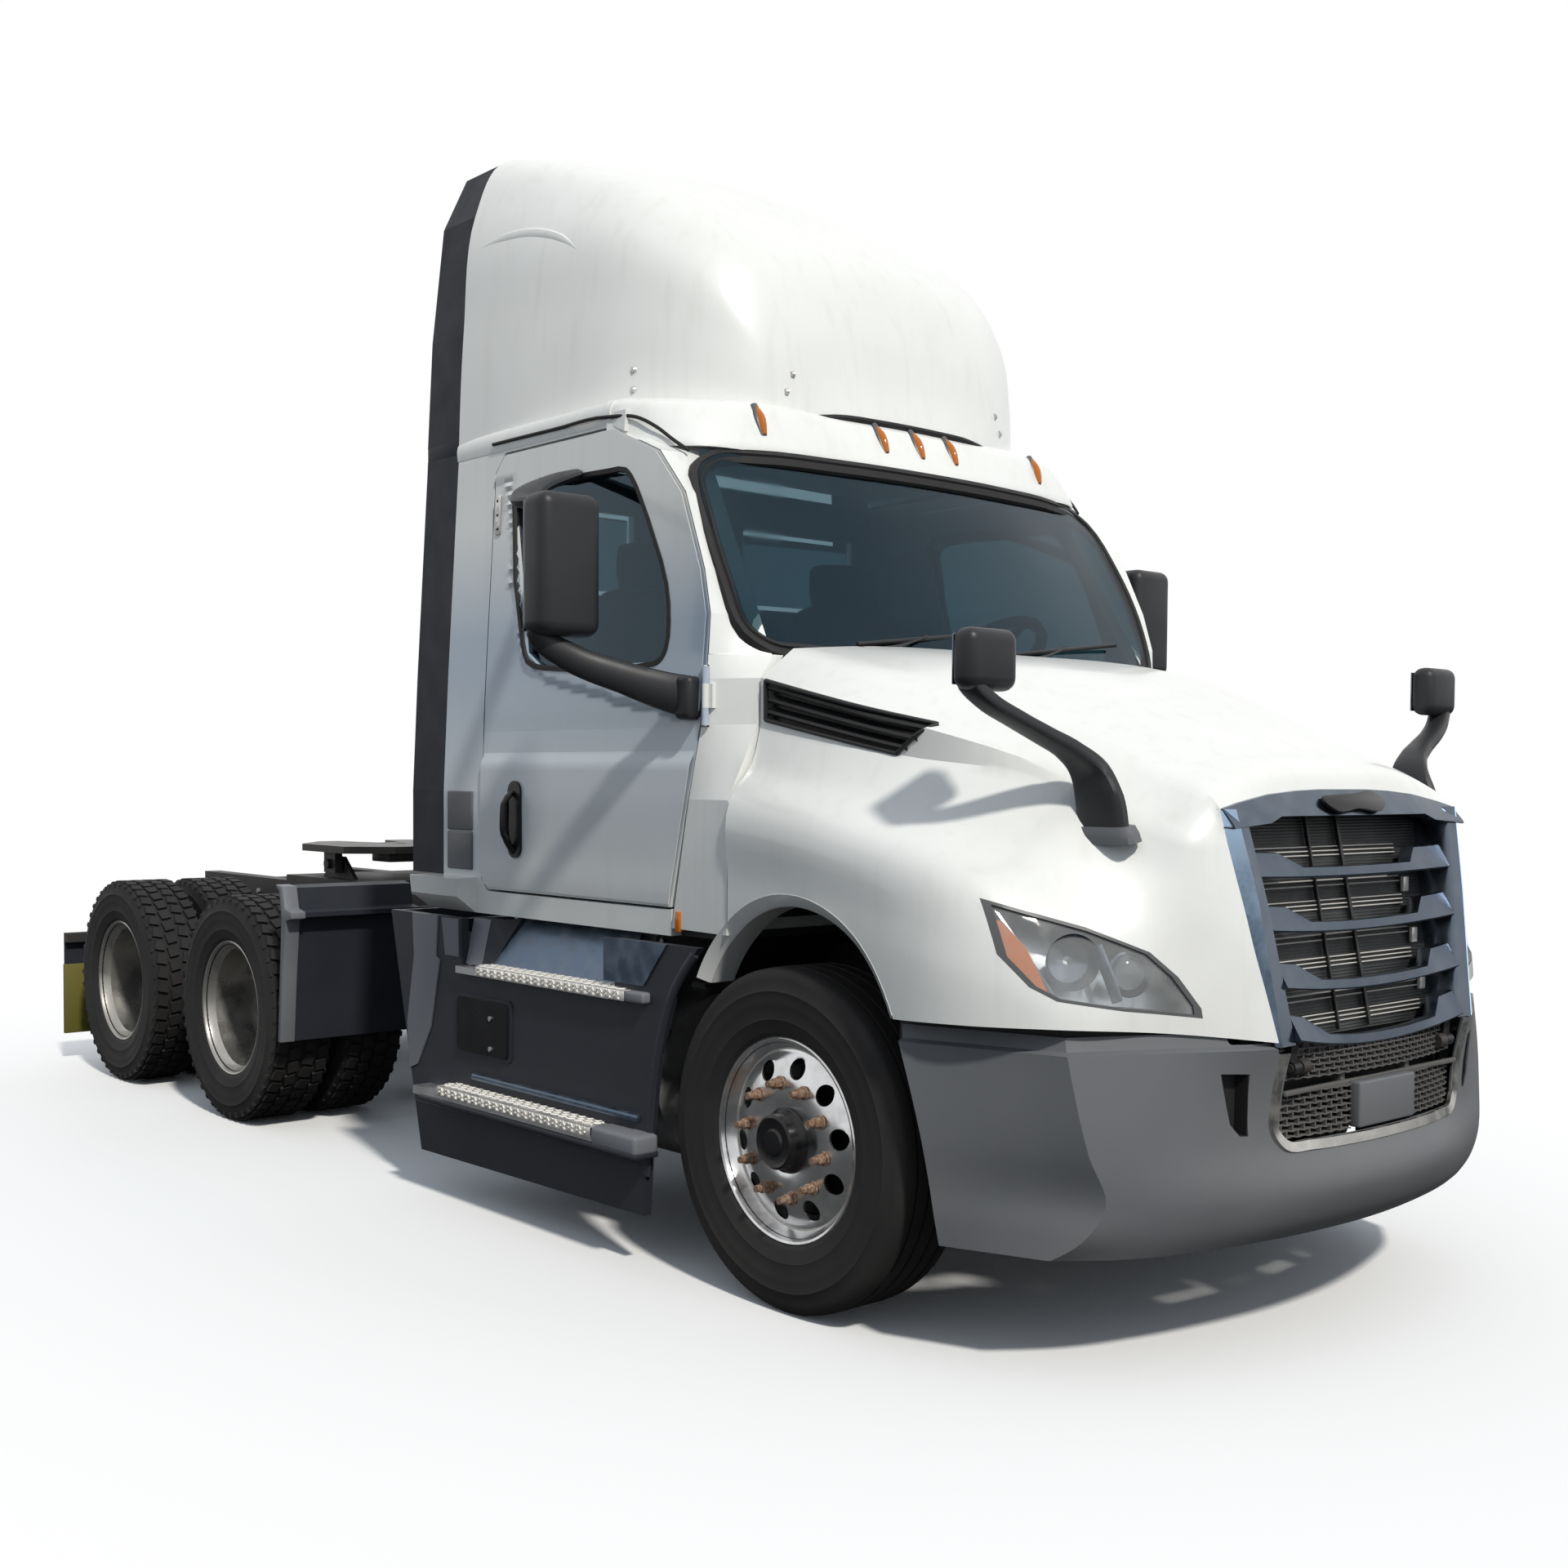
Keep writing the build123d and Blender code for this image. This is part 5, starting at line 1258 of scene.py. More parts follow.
# fineness of the pressing up the door and along it, and the sheet's reach in Z and in stations
UP, ALONG = 96, 72
DOOR_LOW, DOOR_HIGH, DOOR_REAR, DOOR_LENGTH = 1.13, 2.72, -1.70, 1.32
door_stations = [DOOR_REAR + DOOR_LENGTH * i / ALONG for i in range(ALONG + 1)]
door_rows = []
for j in range(UP + 1):
    z = DOOR_LOW + (DOOR_HIGH - DOOR_LOW) * j / UP
    door_rows.append([(at(x), -(door_y(z) + DOOR_PROUD + panel_step(x, z)), z) for x in door_stations])
for word, side in sides:
    rows = [[Vector((x, y * -side, z)) for x, y, z in row] for row in door_rows]
    skin = plain_object(thickened(grid_of(rows), 0.003, away_from_middle), f"door_skin_{word}")
    keep, hole = bmesh.new(), bmesh.new()
    side_prism(keep, door_outline, 0.9, 1.3, side)
    side_prism(hole, window_outline, 0.9, 1.3, side)
    cut(skin, keep, "INTERSECT")
    cut(skin, hole)
    # The door skin takes the white with painted shade.
    dress(skin, shaded_side_white, f"door_{word}", "white_paint")
    seal = bmesh.new()
    path = [(at(x), side * (door_y(z) + 0.006), z) for x, z in window_outline]
    band(seal, path, (0, side, 0), ((-0.011, 0.0), (-0.008, 0.008), (0.008, 0.008), (0.011, -0.02)), 2, True)
    piece(seal, f"window_seal_{word}", rubber, f"door_{word}", "soft_rubber")
    grip = bmesh.new()
    oval = [(at(-1.44 + 0.040 * math.cos(a)), side * (door_y(1.4) + 0.004),
             1.405 + 0.095 * (1 if math.sin(a) > 0 else -1) + 0.040 * math.sin(a))
            for a in (math.tau * (k + 0.5) / 24 for k in range(24))]
    slab(grip, oval, (0, side * 0.009, 0))
    bar = [(at(-1.447), side * (door_y(1.4) + out), z) for out, z in grip_line]
    tube(grip, bar, [(0.030, 0.02), (0.034, 0.022), (0.036, 0.022), (0.030, 0.02), (0.02, 0.016)], 5, 12)
    piece(grip, f"door_handle_{word}", gloss_black, f"door_{word}", "black_plastic")
    low, high = sorted((side * (door_y(2.5) + 0.006), side * (door_y(2.5) + 0.014)))
    plate = bmesh.new()
    brick(plate, (at(-1.655), low, 2.42), (at(-1.625), high, 2.56), 0.003)
    for z in (2.44, 2.49, 2.54):
        rod(plate, (at(-1.64), low, z), (at(-1.64), high + side * 0.006, z), 0.006, segments=10)
    piece(plate, f"door_latch_plate_{word}", steel, f"door_{word}", "brushed_aluminium")

# %% Windscreen seal, panes, roof seams, wipers, side vents and sill markers
seals = bmesh.new()
screen_line = ((-0.552, 0, 2.606), (-0.574, 0.42, 2.606), (-0.626, 0.75, 2.603), (-0.655, 0.885, 2.590),
               (-0.640, 0.965, 2.545), (-0.540, 1.016, 2.37), (-0.434, 1.024, 2.165), (-0.362, 0.995, 2.005),
               (-0.318, 0.935, 1.957), (-0.300, 0.79, 1.945), (-0.272, 0.42, 1.940), (-0.262, 0, 1.938))
half = [(at(x + 0.006), y, z) for x, y, z in screen_line]
path = half + [(x, -y, z) for x, y, z in reversed(half[1:-1])]
seal_profile = ((-0.034, -0.010), (-0.032, 0.010), (-0.014, 0.016), (-0.010, 0.009), (0.000, 0.009),
                (0.004, 0.016), (0.022, 0.014), (0.026, -0.010))
band(seals, path, (0.86, 0, 0.52), seal_profile, 4, True)
piece(seals, "screen_seal", rubber, "chassis", "soft_rubber")
pane = bmesh.new()
rows = []
# height, stations across from the middle, distance of the side edge
pane_rows = ((1.945, -0.262, -0.272, -0.292, -0.306, -0.322, 0.965),
             (2.12, -0.328, -0.342, -0.374, -0.386, -0.394, 1.005),
             (2.29, -0.400, -0.416, -0.455, -0.470, -0.478, 1.010),
             (2.46, -0.475, -0.493, -0.543, -0.562, -0.572, 1.000),
             (2.615, -0.551, -0.572, -0.620, -0.645, -0.662, 0.935))
for z, *half_row, edge in pane_rows:
    spots = [(at(x), y, z) for x, y in zip(half_row, (0, 0.40, 0.75, 0.88, edge))]
    rows.append(full_width(spots[::-1]))
join(pane, thickened(grid_of(woven(rows, 6, 5)), 0.005, forward))
cab_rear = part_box("cab_glass")[0][0]
for side in (-1, 1):
    low, high = sorted((side * 0.30, side * 0.90))
    brick(pane, (cab_rear, low, 2.29), (cab_rear + 0.006, high, 2.58), 0.002)
piece(pane, "cab_panes", cab_glass, "chassis", "cab_glass", "cab_glass")
seams = bmesh.new()
seam_line = ((-1.70, 1.068, 2.752), (-1.30, 1.069, 2.750), (-0.99, 1.068, 2.746), (-0.860, 1.042, 2.730),
             (-0.780, 1.022, 2.690), (-0.715, 0.998, 2.640), (-0.672, 0.972, 2.606))
for side in (-1, 1):
    tube(seams, on_side(side, seam_line), [(0.010, 0.012)] * len(seam_line), 6, 8)
piece(seams, "roof_seams", rubber, "chassis", "soft_rubber")
wipers = bmesh.new()
for y, tip in ((-0.62, -0.04), (0.10, 0.66)):
    post = Vector((at(-0.235), y, 1.945))
    elbow = Vector((at(-0.275), (y + tip) / 2 + 0.05, 2.03))
    rod(wipers, post - Vector((0, 0, 0.03)), post + Vector((0.01, 0, 0.03)), 0.016, segments=12)
    tube(wipers, [post + Vector((0.01, 0, 0.02)), (post + elbow) / 2 + Vector((0.02, 0, 0.0)), elbow],
         [(0.022, 0.012), (0.016, 0.010), (0.012, 0.008)], 4, 8)
    ends = [Vector((at(-0.272), elbow.y - 0.32, 1.985)), Vector((at(-0.318), elbow.y + 0.34, 2.06))]
    middle = (ends[0] + ends[1]) / 2 + Vector((0.004, 0, 0))
    tube(wipers, [ends[0], middle, ends[1]], [(0.012, 0.016)] * 3, 4, 8)
piece(wipers, "wipers", black_plastic, "chassis", "black_plastic")
outlets, markers = bmesh.new(), bmesh.new()
for side in (-1, 1):
    for heights in ((1.213, 1.353), (1.357, 1.500)):
        side_brick(outlets, side, (-1.912, -1.742), (1.118, 1.134), heights, 0.006, 3)
    side_brick(markers, side, (-0.525, -0.500), (1.120, 1.136), (1.075, 1.140), 0.004)
piece(outlets, "cab_side_vents", grey_vent, "chassis", "grey_plastic")
piece(markers, "sill_markers", amber, "chassis", "amber_lens")

# %% Mirrors
# lower arm, from the door up into the head: station, distance, Z, then its widths
lower_arm = ((-0.452, 1.105, 1.800, 0.05, 0.135), (-0.520, 1.175, 1.822, 0.05, 0.120),
             (-0.600, 1.275, 1.862, 0.05, 0.100), (-0.690, 1.420, 1.925, 0.05, 0.088),
             (-0.728, 1.500, 1.985, 0.055, 0.075), (-0.735, 1.518, 2.080, 0.055, 0.06),
             (-0.735, 1.520, 2.240, 0.05, 0.05), (-0.735, 1.515, 2.380, 0.04, 0.04))
upper_arm = ((-0.740, 1.490, 2.395, 0.07, 0.040), (-0.860, 1.470, 2.410, 0.09, 0.045),
             (-0.945, 1.400, 2.455, 0.10, 0.045), (-1.050, 1.230, 2.528, 0.09, 0.040),
             (-1.155, 1.078, 2.580, 0.07, 0.030))
fender_arm = ((0.882, 0.800, 1.428, 0.165, 0.050), (0.874, 0.806, 1.520, 0.150, 0.050),
              (0.850, 0.822, 1.592, 0.125, 0.048), (0.830, 0.875, 1.637, 0.095, 0.046),
              (0.812, 0.955, 1.674, 0.080, 0.044), (0.795, 1.055, 1.717, 0.074, 0.042),
              (0.772, 1.135, 1.760, 0.074, 0.042), (0.755, 1.180, 1.805, 0.072, 0.042),
              (0.755, 1.186, 1.870, 0.060, 0.040))
fender_pad = ((0.895, 0.792, 1.398, 0.200, 0.080), (0.892, 0.796, 1.420, 0.195, 0.078),
              (0.890, 0.799, 1.440, 0.180, 0.066))


def arm(draw, bm, side, table, *fineness):
    """Bar through a table of points and widths."""
    draw(bm, on_side(side, [row[:3] for row in table]), [row[3:] for row in table], *fineness)


for word, side in sides:
    head, faces = bmesh.new(), bmesh.new()
    side_brick(head, side, (-0.775, -0.640), (1.325, 1.548), (1.985, 2.420), 0.042, 5)
    for heights in ((2.14, 2.40), (2.00, 2.12)):
        side_brick(faces, side, (-0.781, -0.772), (1.345, 1.528), heights, 0.004)
    arm(tube, head, side, lower_arm, 6, 16)
    side_brick(head, side, (-0.500, -0.425), (1.085, 1.165), (1.735, 1.868), 0.018, 3)
    arm(tube, head, side, upper_arm, 6, 12)
    piece(head, f"mirror_housing_{word}", mirror_black, f"door_{word}", "black_plastic", f"mirror_{word}")
    piece(faces, f"mirror_face_{word}", chrome, f"door_{word}", "chrome_trim")
small, faces, pads = bmesh.new(), bmesh.new(), bmesh.new()
for side in (-1, 1):
    arm(blade_arm, small, side, fender_arm)
    arm(blade_arm, pads, side, fender_pad, 2)
    side_brick(small, side, (0.720, 0.800), (1.035, 1.222), (1.785, 1.945), 0.034, 5)
    side_brick(faces, side, (0.7165, 0.7225), (1.050, 1.207), (1.80, 1.93), 0.003)
piece(small, "fender_mirror_housings", mirror_black, "hood", "black_plastic", "hood_mirrors")
piece(faces, "fender_mirror_faces", chrome, "hood", "chrome_trim")
piece(pads, "fender_mirror_pads", bumper_grey, "hood", "grey_plastic")

# %% Joint between the side extenders and the fairing's rim
joints = bmesh.new()
for side in (-1, 1):
    side_brick(joints, side, (-2.180, -1.952), (1.038, 1.060), (2.746, 2.804), 0.002)
piece(joints, "extender_joints", extender_black, "chassis", "black_plastic")

# %% [markdown]
# ## Wheels and tyres
# Every wheel is turned about its axle. Steer tyres have four straight grooves. Drive tyres carry four
# staggered rows of blocks on a smooth carcass, with notches at the shoulder. The steer wheels are polished
# discs with ten holes; the drive wheels are deep dishes.

# %% Tyres
TYRE_RADIUS, BEAD = 0.505, 0.284
WHEEL_NUTS = 10
RIB_GROOVES = (-0.076, -0.027, 0.027, 0.076)


def sidewall(sign):
    """(along, radius) points of a sidewall from the bead out, with its moulded rings."""
    points = [(0.108, BEAD), (0.116, 0.300), (0.126, 0.310), (0.128, 0.318), (0.137, 0.350), (0.1385, 0.354),
              (0.1375, 0.358), (0.143, 0.392), (0.145, 0.410), (0.1435, 0.432), (0.1450, 0.436),
              (0.1405, 0.444), (0.136, 0.468), (0.134, 0.480), (0.126, 0.494)]
    return [(sign * a, r) for a, r in points]


def steer_tread():
    """Ribs between straight grooves."""
    points = [(-0.115, 0.502)]
    for groove in RIB_GROOVES:
        points += [(groove - 0.0065, TYRE_RADIUS), (groove - 0.004, TYRE_RADIUS - 0.014),
                   (groove + 0.004, TYRE_RADIUS - 0.014), (groove + 0.0065, TYRE_RADIUS)]
    return points + [(0.115, 0.502)]


def carcass(bm, centre, tread):
    """Tyre turned about its axle, with a tread profile between its sidewalls."""
    profile = sidewall(-1) + tread + list(reversed(sidewall(1))) + [(0.0, BEAD - 0.004), (-0.108, BEAD)]
    lathe(bm, profile, centre, 72)


# where each row of tread blocks lies along the axle, its width, and whether it is staggered
block_rows = ((-0.094, 0.046, 0), (-0.034, 0.048, 1), (0.034, 0.048, 0), (0.094, 0.046, 1))


def lugs(bm, centre, shift):
    """Staggered tread blocks round a carcass, and the notches at its shoulders."""
    count = 46

    def spun(step, along, radius):
        """Turn by steps about the axle, then move out to a radius."""
        turned = Matrix.Rotation((step + shift) * math.tau / count, 4, "Y")
        return turned @ Matrix.Translation((0, along, radius))

    for along, width, stagger in block_rows:
        skew = Matrix.Rotation(math.radians(12 if stagger else -12), 4, "Z")
        for k in range(count):
            matrix = spun(k + 0.5 * stagger, along, TYRE_RADIUS - 0.0112) @ skew
            block(bm, centre, (0.050, width, 0.022), matrix)
    for k in range(count):
        for along in (-0.131, 0.131):
            block(bm, centre, (0.022, 0.010, 0.030), spun(k + 0.25, along, TYRE_RADIUS - 0.028))


STEER_Y, DUAL_OUTER_Y, DUAL_SPACING = 1.015, 1.066, 0.343
DRIVE_AXLES = []
for name in ("front_drive", "rear_drive"):
    low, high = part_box(f"{name}_tyres_right")
    DRIVE_AXLES.append((name, (low[0] + high[0]) / 2))
drive_tread = [(-0.118, 0.492), (-0.05, 0.4925), (0.05, 0.4925), (0.118, 0.492)]
for word, side in sides:
    bm = bmesh.new()
    carcass(bm, (at(0), side * STEER_Y, AXLE_HEIGHT), steer_tread())
    piece(bm, f"steer_tyre_{word}", tyre, f"front_wheel_{word}", "tyre_rubber", f"front_tyre_{word}")
    for name, x in DRIVE_AXLES:
        bm = bmesh.new()
        for y in (DUAL_OUTER_Y, DUAL_OUTER_Y - DUAL_SPACING):
            centre = Vector((x, side * y, AXLE_HEIGHT))
            carcass(bm, centre, drive_tread)
            lugs(bm, centre, 0.3 if y == DUAL_OUTER_Y else 0.0)
        piece(bm, f"{name}_treads_{word}", tyre, f"{name}_wheels_{word}", "tyre_rubber",
              f"{name}_tyres_{word}")


# %% Wheel discs, hubs and nuts
def wheel_disc(name, centre, side, outline, holes, hole_radius, finish, body, slot, *stands_for):
    """Turned wheel with a ring of hand holes; outline is (out, radius) from the rim's lip to the middle."""
    bm = bmesh.new()
    back = []
    for k, (a, r) in enumerate(outline):
        before, after = outline[max(k - 1, 0)], outline[min(k + 1, len(outline) - 1)]
        run = Vector((after[0] - before[0], after[1] - before[1])).normalized()
        back.insert(0, (a + 0.007 * run.y, r - 0.007 * run.x))
    side_lathe(bm, side, outline + back + [outline[0]], centre, 80)
    obj = plain_object(bm, name)
    if holes:
        dies = bmesh.new()
        for k in range(WHEEL_NUTS):
            angle = math.tau * (k + 0.25) / WHEEL_NUTS
            spot = centre + Vector((holes * math.cos(angle), 0, holes * math.sin(angle)))
            rod(dies, spot - Vector((0, 0.2, 0)), spot + Vector((0, 0.2, 0)), hole_radius, segments=20)
        cut(obj, dies)
    return dress(obj, finish, body, slot, *stands_for)


def nuts(bm, centre, side, out, ring, length):
    """Ten wheel nuts with their washers and studs."""
    for k in range(WHEEL_NUTS):
        angle = math.tau * (k + 0.75) / WHEEL_NUTS
        foot = Vector(centre) + Vector((ring * math.cos(angle), side * out, ring * math.sin(angle)))
        washer, nut, stud = (foot + Vector((0, side * d, 0)) for d in (0.006, length * 0.62, length))
        rod(bm, foot, washer, 0.021, segments=16, bevel=0.002)
        rod(bm, washer, nut, 0.0165, segments=6, bevel=0.002)
        rod(bm, nut, stud, 0.011, segments=10)


steer_outline = [(0.1175, 0.303), (0.1215, 0.298), (0.1190, 0.291), (0.106, 0.284), (0.088, 0.275),
                 (0.076, 0.264), (0.078, 0.252), (0.090, 0.238), (0.099, 0.214), (0.106, 0.190),
                 (0.110, 0.172), (0.1115, 0.150), (0.1115, 0.100), (0.108, 0.092)]
barrel = [(0.078, 0.262), (0.02, 0.262), (-0.080, 0.262), (-0.105, 0.284), (-0.115, 0.300)]
dish_outline = [(0.1175, 0.303), (0.1215, 0.298), (0.1190, 0.291), (0.104, 0.284), (0.086, 0.277),
                (0.072, 0.265), (0.02, 0.262), (-0.080, 0.260), (-0.125, 0.252), (-0.148, 0.236),
                (-0.158, 0.205), (-0.161, 0.17), (-0.161, 0.118)]
steer_cap = [(0.100, 0.094), (0.118, 0.094), (0.124, 0.088), (0.128, 0.082), (0.158, 0.079), (0.164, 0.072),
             (0.160, 0.062), (0.159, 0.040), (0.166, 0.034), (0.168, 0.0)]
steer_drum = [(0.045, 0.0), (0.045, 0.215), (0.030, 0.228), (-0.095, 0.235), (-0.100, 0.228), (-0.100, 0.05)]
drive_cap = [(-0.175, 0.120), (-0.165, 0.118), (-0.110, 0.112), (-0.060, 0.108), (-0.052, 0.100),
             (-0.052, 0.062), (-0.018, 0.056), (-0.014, 0.0)]
drive_drum = [(-0.195, 0.0), (-0.195, 0.222), (-0.215, 0.228), (-0.30, 0.228)]
for word, side in sides:
    centre = Vector((at(0), side * STEER_Y, AXLE_HEIGHT))
    body = f"front_wheel_{word}"
    wheel_disc(f"steer_wheel_{word}", centre, side, steer_outline, 0.2135, 0.031, polished, body,
               "polished_aluminium", f"front_rim_{word}")
    wheel_disc(f"steer_barrel_{word}", centre, side, barrel, 0, 0, dull_wheel, body, "polished_aluminium")
    bm = bmesh.new()
    nuts(bm, centre, side, 0.110, 0.1675, 0.052)
    piece(bm, f"steer_nuts_{word}", rust, body, "cast_black")
    bm = bmesh.new()
    side_lathe(bm, side, steer_cap, centre, 48)
    side_lathe(bm, side, steer_drum, centre, 48)
    piece(bm, f"steer_hub_{word}", gloss_black, body, "cast_black")
    for name, x in DRIVE_AXLES:
        centre = Vector((x, side * DUAL_OUTER_Y, AXLE_HEIGHT))
        body = f"{name}_wheels_{word}"
        wheel_disc(f"{name}_dish_{word}", centre, side, dish_outline, 0.225, 0.026, drive_dish, body,
                   "polished_aluminium", f"{name}_rims_{word}")
        inner = centre - Vector((0, side * DUAL_SPACING, 0))
        wheel_disc(f"{name}_inner_{word}", inner, side, [(-a, r) for a, r in reversed(dish_outline)], 0, 0,
                   drive_dish, body, "polished_aluminium")
        bm = bmesh.new()
        nuts(bm, centre, side, -0.161, 0.1675, 0.050)
        side_lathe(bm, side, drive_cap, centre, 40)
        side_lathe(bm, side, drive_drum, centre, 40)
        for k in range(8):
            angle = math.tau * k / 8
            spot = centre + Vector((0.082 * math.cos(angle), side * -0.054, 0.082 * math.sin(angle)))
            rod(bm, spot, spot + Vector((0, side * 0.014, 0)), 0.009, segments=6)
        piece(bm, f"{name}_hubs_{word}", iron, body, "cast_black")

# %% [markdown]
# ## Steps, fenders and tail
# The side skirts get their pale corner panel, hatch, inclined kick plate and the two diamond-tread steps.
# The quarter fenders get an outer edge painted pale grey for the sunlight on it, the mud flaps their faces,
# and the tail its lamps and bolts.

# %% Skirt panels and steps
pale, dark, plates, treads, kicks, lids = (bmesh.new() for _ in range(6))
SKIRT_Y = 1.180
corner_panel = ((-2.078, 1.040), (-1.892, 1.040), (-1.907, 0.888), (-1.878, 0.876), (-1.945, 0.623),
                (-2.045, 0.470), (-2.098, 0.450), (-2.118, 0.620), (-2.066, 0.880))
hatch = [(-1.575 + 0.146 * (1 if math.cos(a) > 0 else -1) + 0.022 * math.cos(a),
          0.663 + 0.076 * (1 if math.sin(a) > 0 else -1) + 0.022 * math.sin(a))
         for a in (math.tau * (k + 0.5) / 16 for k in range(16))]


def grown(outline, amount):
    """Outline moved out from its middle."""
    mid = sum((Vector(p) for p in outline), Vector((0, 0))) / len(outline)
    return [mid + (Vector(p) - mid) * (1 + amount / (Vector(p) - mid).length) for p in outline]


DIAMOND, NOSE_DIAMOND, PITCH = (0.022, 0.007, 0.006), (0.018, 0.004, 0.006), 0.023


def tread_plate(bm, side, stations, distances, z):
    """Step plate with raised diamonds, with its nose turned down."""
    (x_from, x_to), (y_from, y_to) = stations, distances
    side_brick(bm, side, stations, distances, (z - 0.004, z), 0.0015)
    side_brick(bm, side, stations, (y_to - 0.004, y_to), (z - 0.035, z), 0.0015)
    for i in range(int((x_to - x_from) / PITCH)):
        x = at(x_from + (i + 0.5) * PITCH)
        for j in range(int((y_to - y_from) / PITCH)):
            turned = Matrix.Rotation(math.radians(45 if (i + j) % 2 else -45), 4, "Z")
            block(bm, (x, side * (y_from + (j + 0.5) * PITCH), z + 0.001), DIAMOND, turned)
        turned = Matrix.Rotation(math.radians(45 if i % 2 else -45), 4, "Y")
        for drop in (0.012, 0.026):
            block(bm, (x, side * (y_to + 0.001), z - drop), NOSE_DIAMOND, turned)


kick_corner = ((-0.835, 0.900), (-0.620, 0.900), (-0.500, 1.040), (-0.835, 1.040))
corner_tail = ((-1.862, 1.036), (-1.745, 1.036), (-1.745, 0.900), (-1.836, 0.900))
# inclined plates over the upper step: corners, then thickness across the truck and upward
kick_plate = ((-1.590, 1.135, 0.872), (-0.830, 1.135, 0.872), (-0.815, 1.035, 1.050), (-1.560, 1.035, 1.050))
pale_wedge = ((-1.725, 1.165, 0.875), (-1.615, 1.165, 0.875), (-1.610, 1.130, 1.040), (-1.725, 1.130, 1.040))
dark_wedge = ((-1.615, 1.165, 0.875), (-1.590, 1.140, 0.875), (-1.520, 1.060, 1.045), (-1.610, 1.130, 1.040))
wedges = ((kicks, kick_plate, 0.006, 0.004), (pale, pale_wedge, -0.06, 0), (dark, dark_wedge, -0.05, 0))
# step ends, sill strips and edges: stations, distances, heights, bevel and its segments
strips = ((pale, (-0.800, -0.560), (1.165, 1.262), (0.376, 0.440), 0.014, 3),
          (dark, (-1.900, -0.560), (1.165, 1.262), (0.366, 0.386), 0.006),
          (pale, (-0.690, -0.590), (1.165, 1.210), (0.846, 0.882), 0.010, 3),
          (kicks, (-1.640, -0.640), (1.172, 1.196), (0.466, 0.490), 0.007),
          (dark, (-2.060, -0.612), (SKIRT_Y - 0.004, SKIRT_Y + 0.003), (0.326, 0.334), 0.001))
front_lip = ((-0.612, 0.30), (-0.600, 0.42), (-0.556, 0.692), (-0.480, 0.893), (-0.372, 1.02))
for side in (-1, 1):
    side_prism(dark, grown(hatch, 0.022), SKIRT_Y, SKIRT_Y + 0.005, side)
    side_prism(lids, hatch, SKIRT_Y + 0.005, SKIRT_Y + 0.013, side)
    for bm, outline in ((pale, corner_panel), (kicks, kick_corner), (pale, corner_tail)):
        side_prism(bm, outline, SKIRT_Y, SKIRT_Y + 0.006, side)
    for z in (0.592, 0.700):
        low, high = sorted((side * (SKIRT_Y + 0.013), side * (SKIRT_Y + 0.018)))
        rod(plates, (at(-1.512), low, z), (at(-1.512), high, z), 0.009, segments=12)
    for bm, corners, across, upward in wedges:
        slab(bm, on_side(side, corners), (0, side * across, upward))
    tread_plate(treads, side, (-1.585, -0.690), (1.090, 1.210), 0.882)
    tread_plate(treads, side, (-1.765, -0.800), (1.172, 1.262), 0.436)
    for bm, *strip in strips:
        side_brick(bm, side, *strip)
    lip = [(x, SKIRT_Y - 0.006, z) for x, z in front_lip]
    tube(dark, on_side(side, lip), [(0.020, 0.034)] * 5, 6, 10)
piece(pale, "skirt_pale_panels", light_grey, "chassis", "grey_plastic")
piece(dark, "skirt_dark_panels", skirt_grey, "chassis", "dark_plastic")
piece(plates, "skirt_plates", brushed, "chassis", "brushed_aluminium")
piece(kicks, "kick_plates", kick_steel, "chassis", "brushed_aluminium")
piece(lids, "hatch_lids", gloss_black, "chassis", "black_plastic")
piece(treads, "diamond_steps", tread_metal, "chassis", "brushed_aluminium")

# %% Quarter fenders' outer edges, pale grey as painted sunlight
# The light grey on each fender's outer edge is painted sunlight; the fender itself is dark.
edges = bmesh.new()
edge_outline = ((-3.196, 1.088), (-3.128, 1.082), (-3.104, 0.990), (-3.046, 0.978), (-3.044, 0.950),
                (-3.098, 0.938), (-3.128, 0.70), (-3.152, 0.418), (-3.178, 0.418), (-3.140, 0.95),
                (-3.160, 1.060))
for side in (-1, 1):
    side_prism(edges, edge_outline, 1.148, 1.214, side)
soften(edges, 0.004, None, 2, 40)
piece(edges, "fender_edges", light_grey, "chassis", "grey_plastic")

# %% Flap faces and the fifth wheel's front web
flaps, web = bmesh.new(), bmesh.new()
flap_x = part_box("mud_guards")[0][0]
for side in (-1, 1):
    low, high = sorted((side * 0.786, side * 1.199))
    brick(flaps, (flap_x - 0.004, low, 0.146), (flap_x + 0.016, high, 0.520), 0.003)
piece(flaps, "flap_faces", flap_olive, "chassis", "black_plastic")
brick(web, (at(-4.190), -0.24, 1.120), (at(-4.010), 0.24, 1.168), 0.006)
piece(web, "fifth_wheel_web", grease, "fifth_wheel_plate", "cast_black")

# %% Tail lamps and rail bolts
tail, tail_bases, bolts = bmesh.new(), bmesh.new(), bmesh.new()
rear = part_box("crossmembers")[0][0]
TAIL_Z = 0.86
for side in (-1, 1):
    for y in (0.28, 0.40):
        foot, middle, face = (Vector((rear - out, side * y, TAIL_Z)) for out in (0.004, 0.022, 0.034))
        rod(tail_bases, foot, middle, 0.056, segments=32, bevel=0.004)
        rod(tail, middle, face, 0.048, 0.042, 32, 0.004)
    for k in range(26):
        x = at(-1.0 - 0.17 * k)
        for z in (0.80, 0.93):
            if -3.2 < x - FRONT_AXLE < -2.1 or k % 3 == 0:
                rod(bolts, (x, side * 0.430, z), (x, side * 0.442, z), 0.013, segments=6)
piece(tail_bases, "tail_lamp_bases", black_plastic, "chassis", "black_plastic")
piece(tail, "tail_lamps", red_lens, "chassis", "amber_lens")
piece(bolts, "rail_bolts", steel, "chassis", "frame_paint")

# %% [markdown]
# ## Seats and dashboard
# The seats are stuffed cushions with bolsters. The dashboard keeps its packed form.

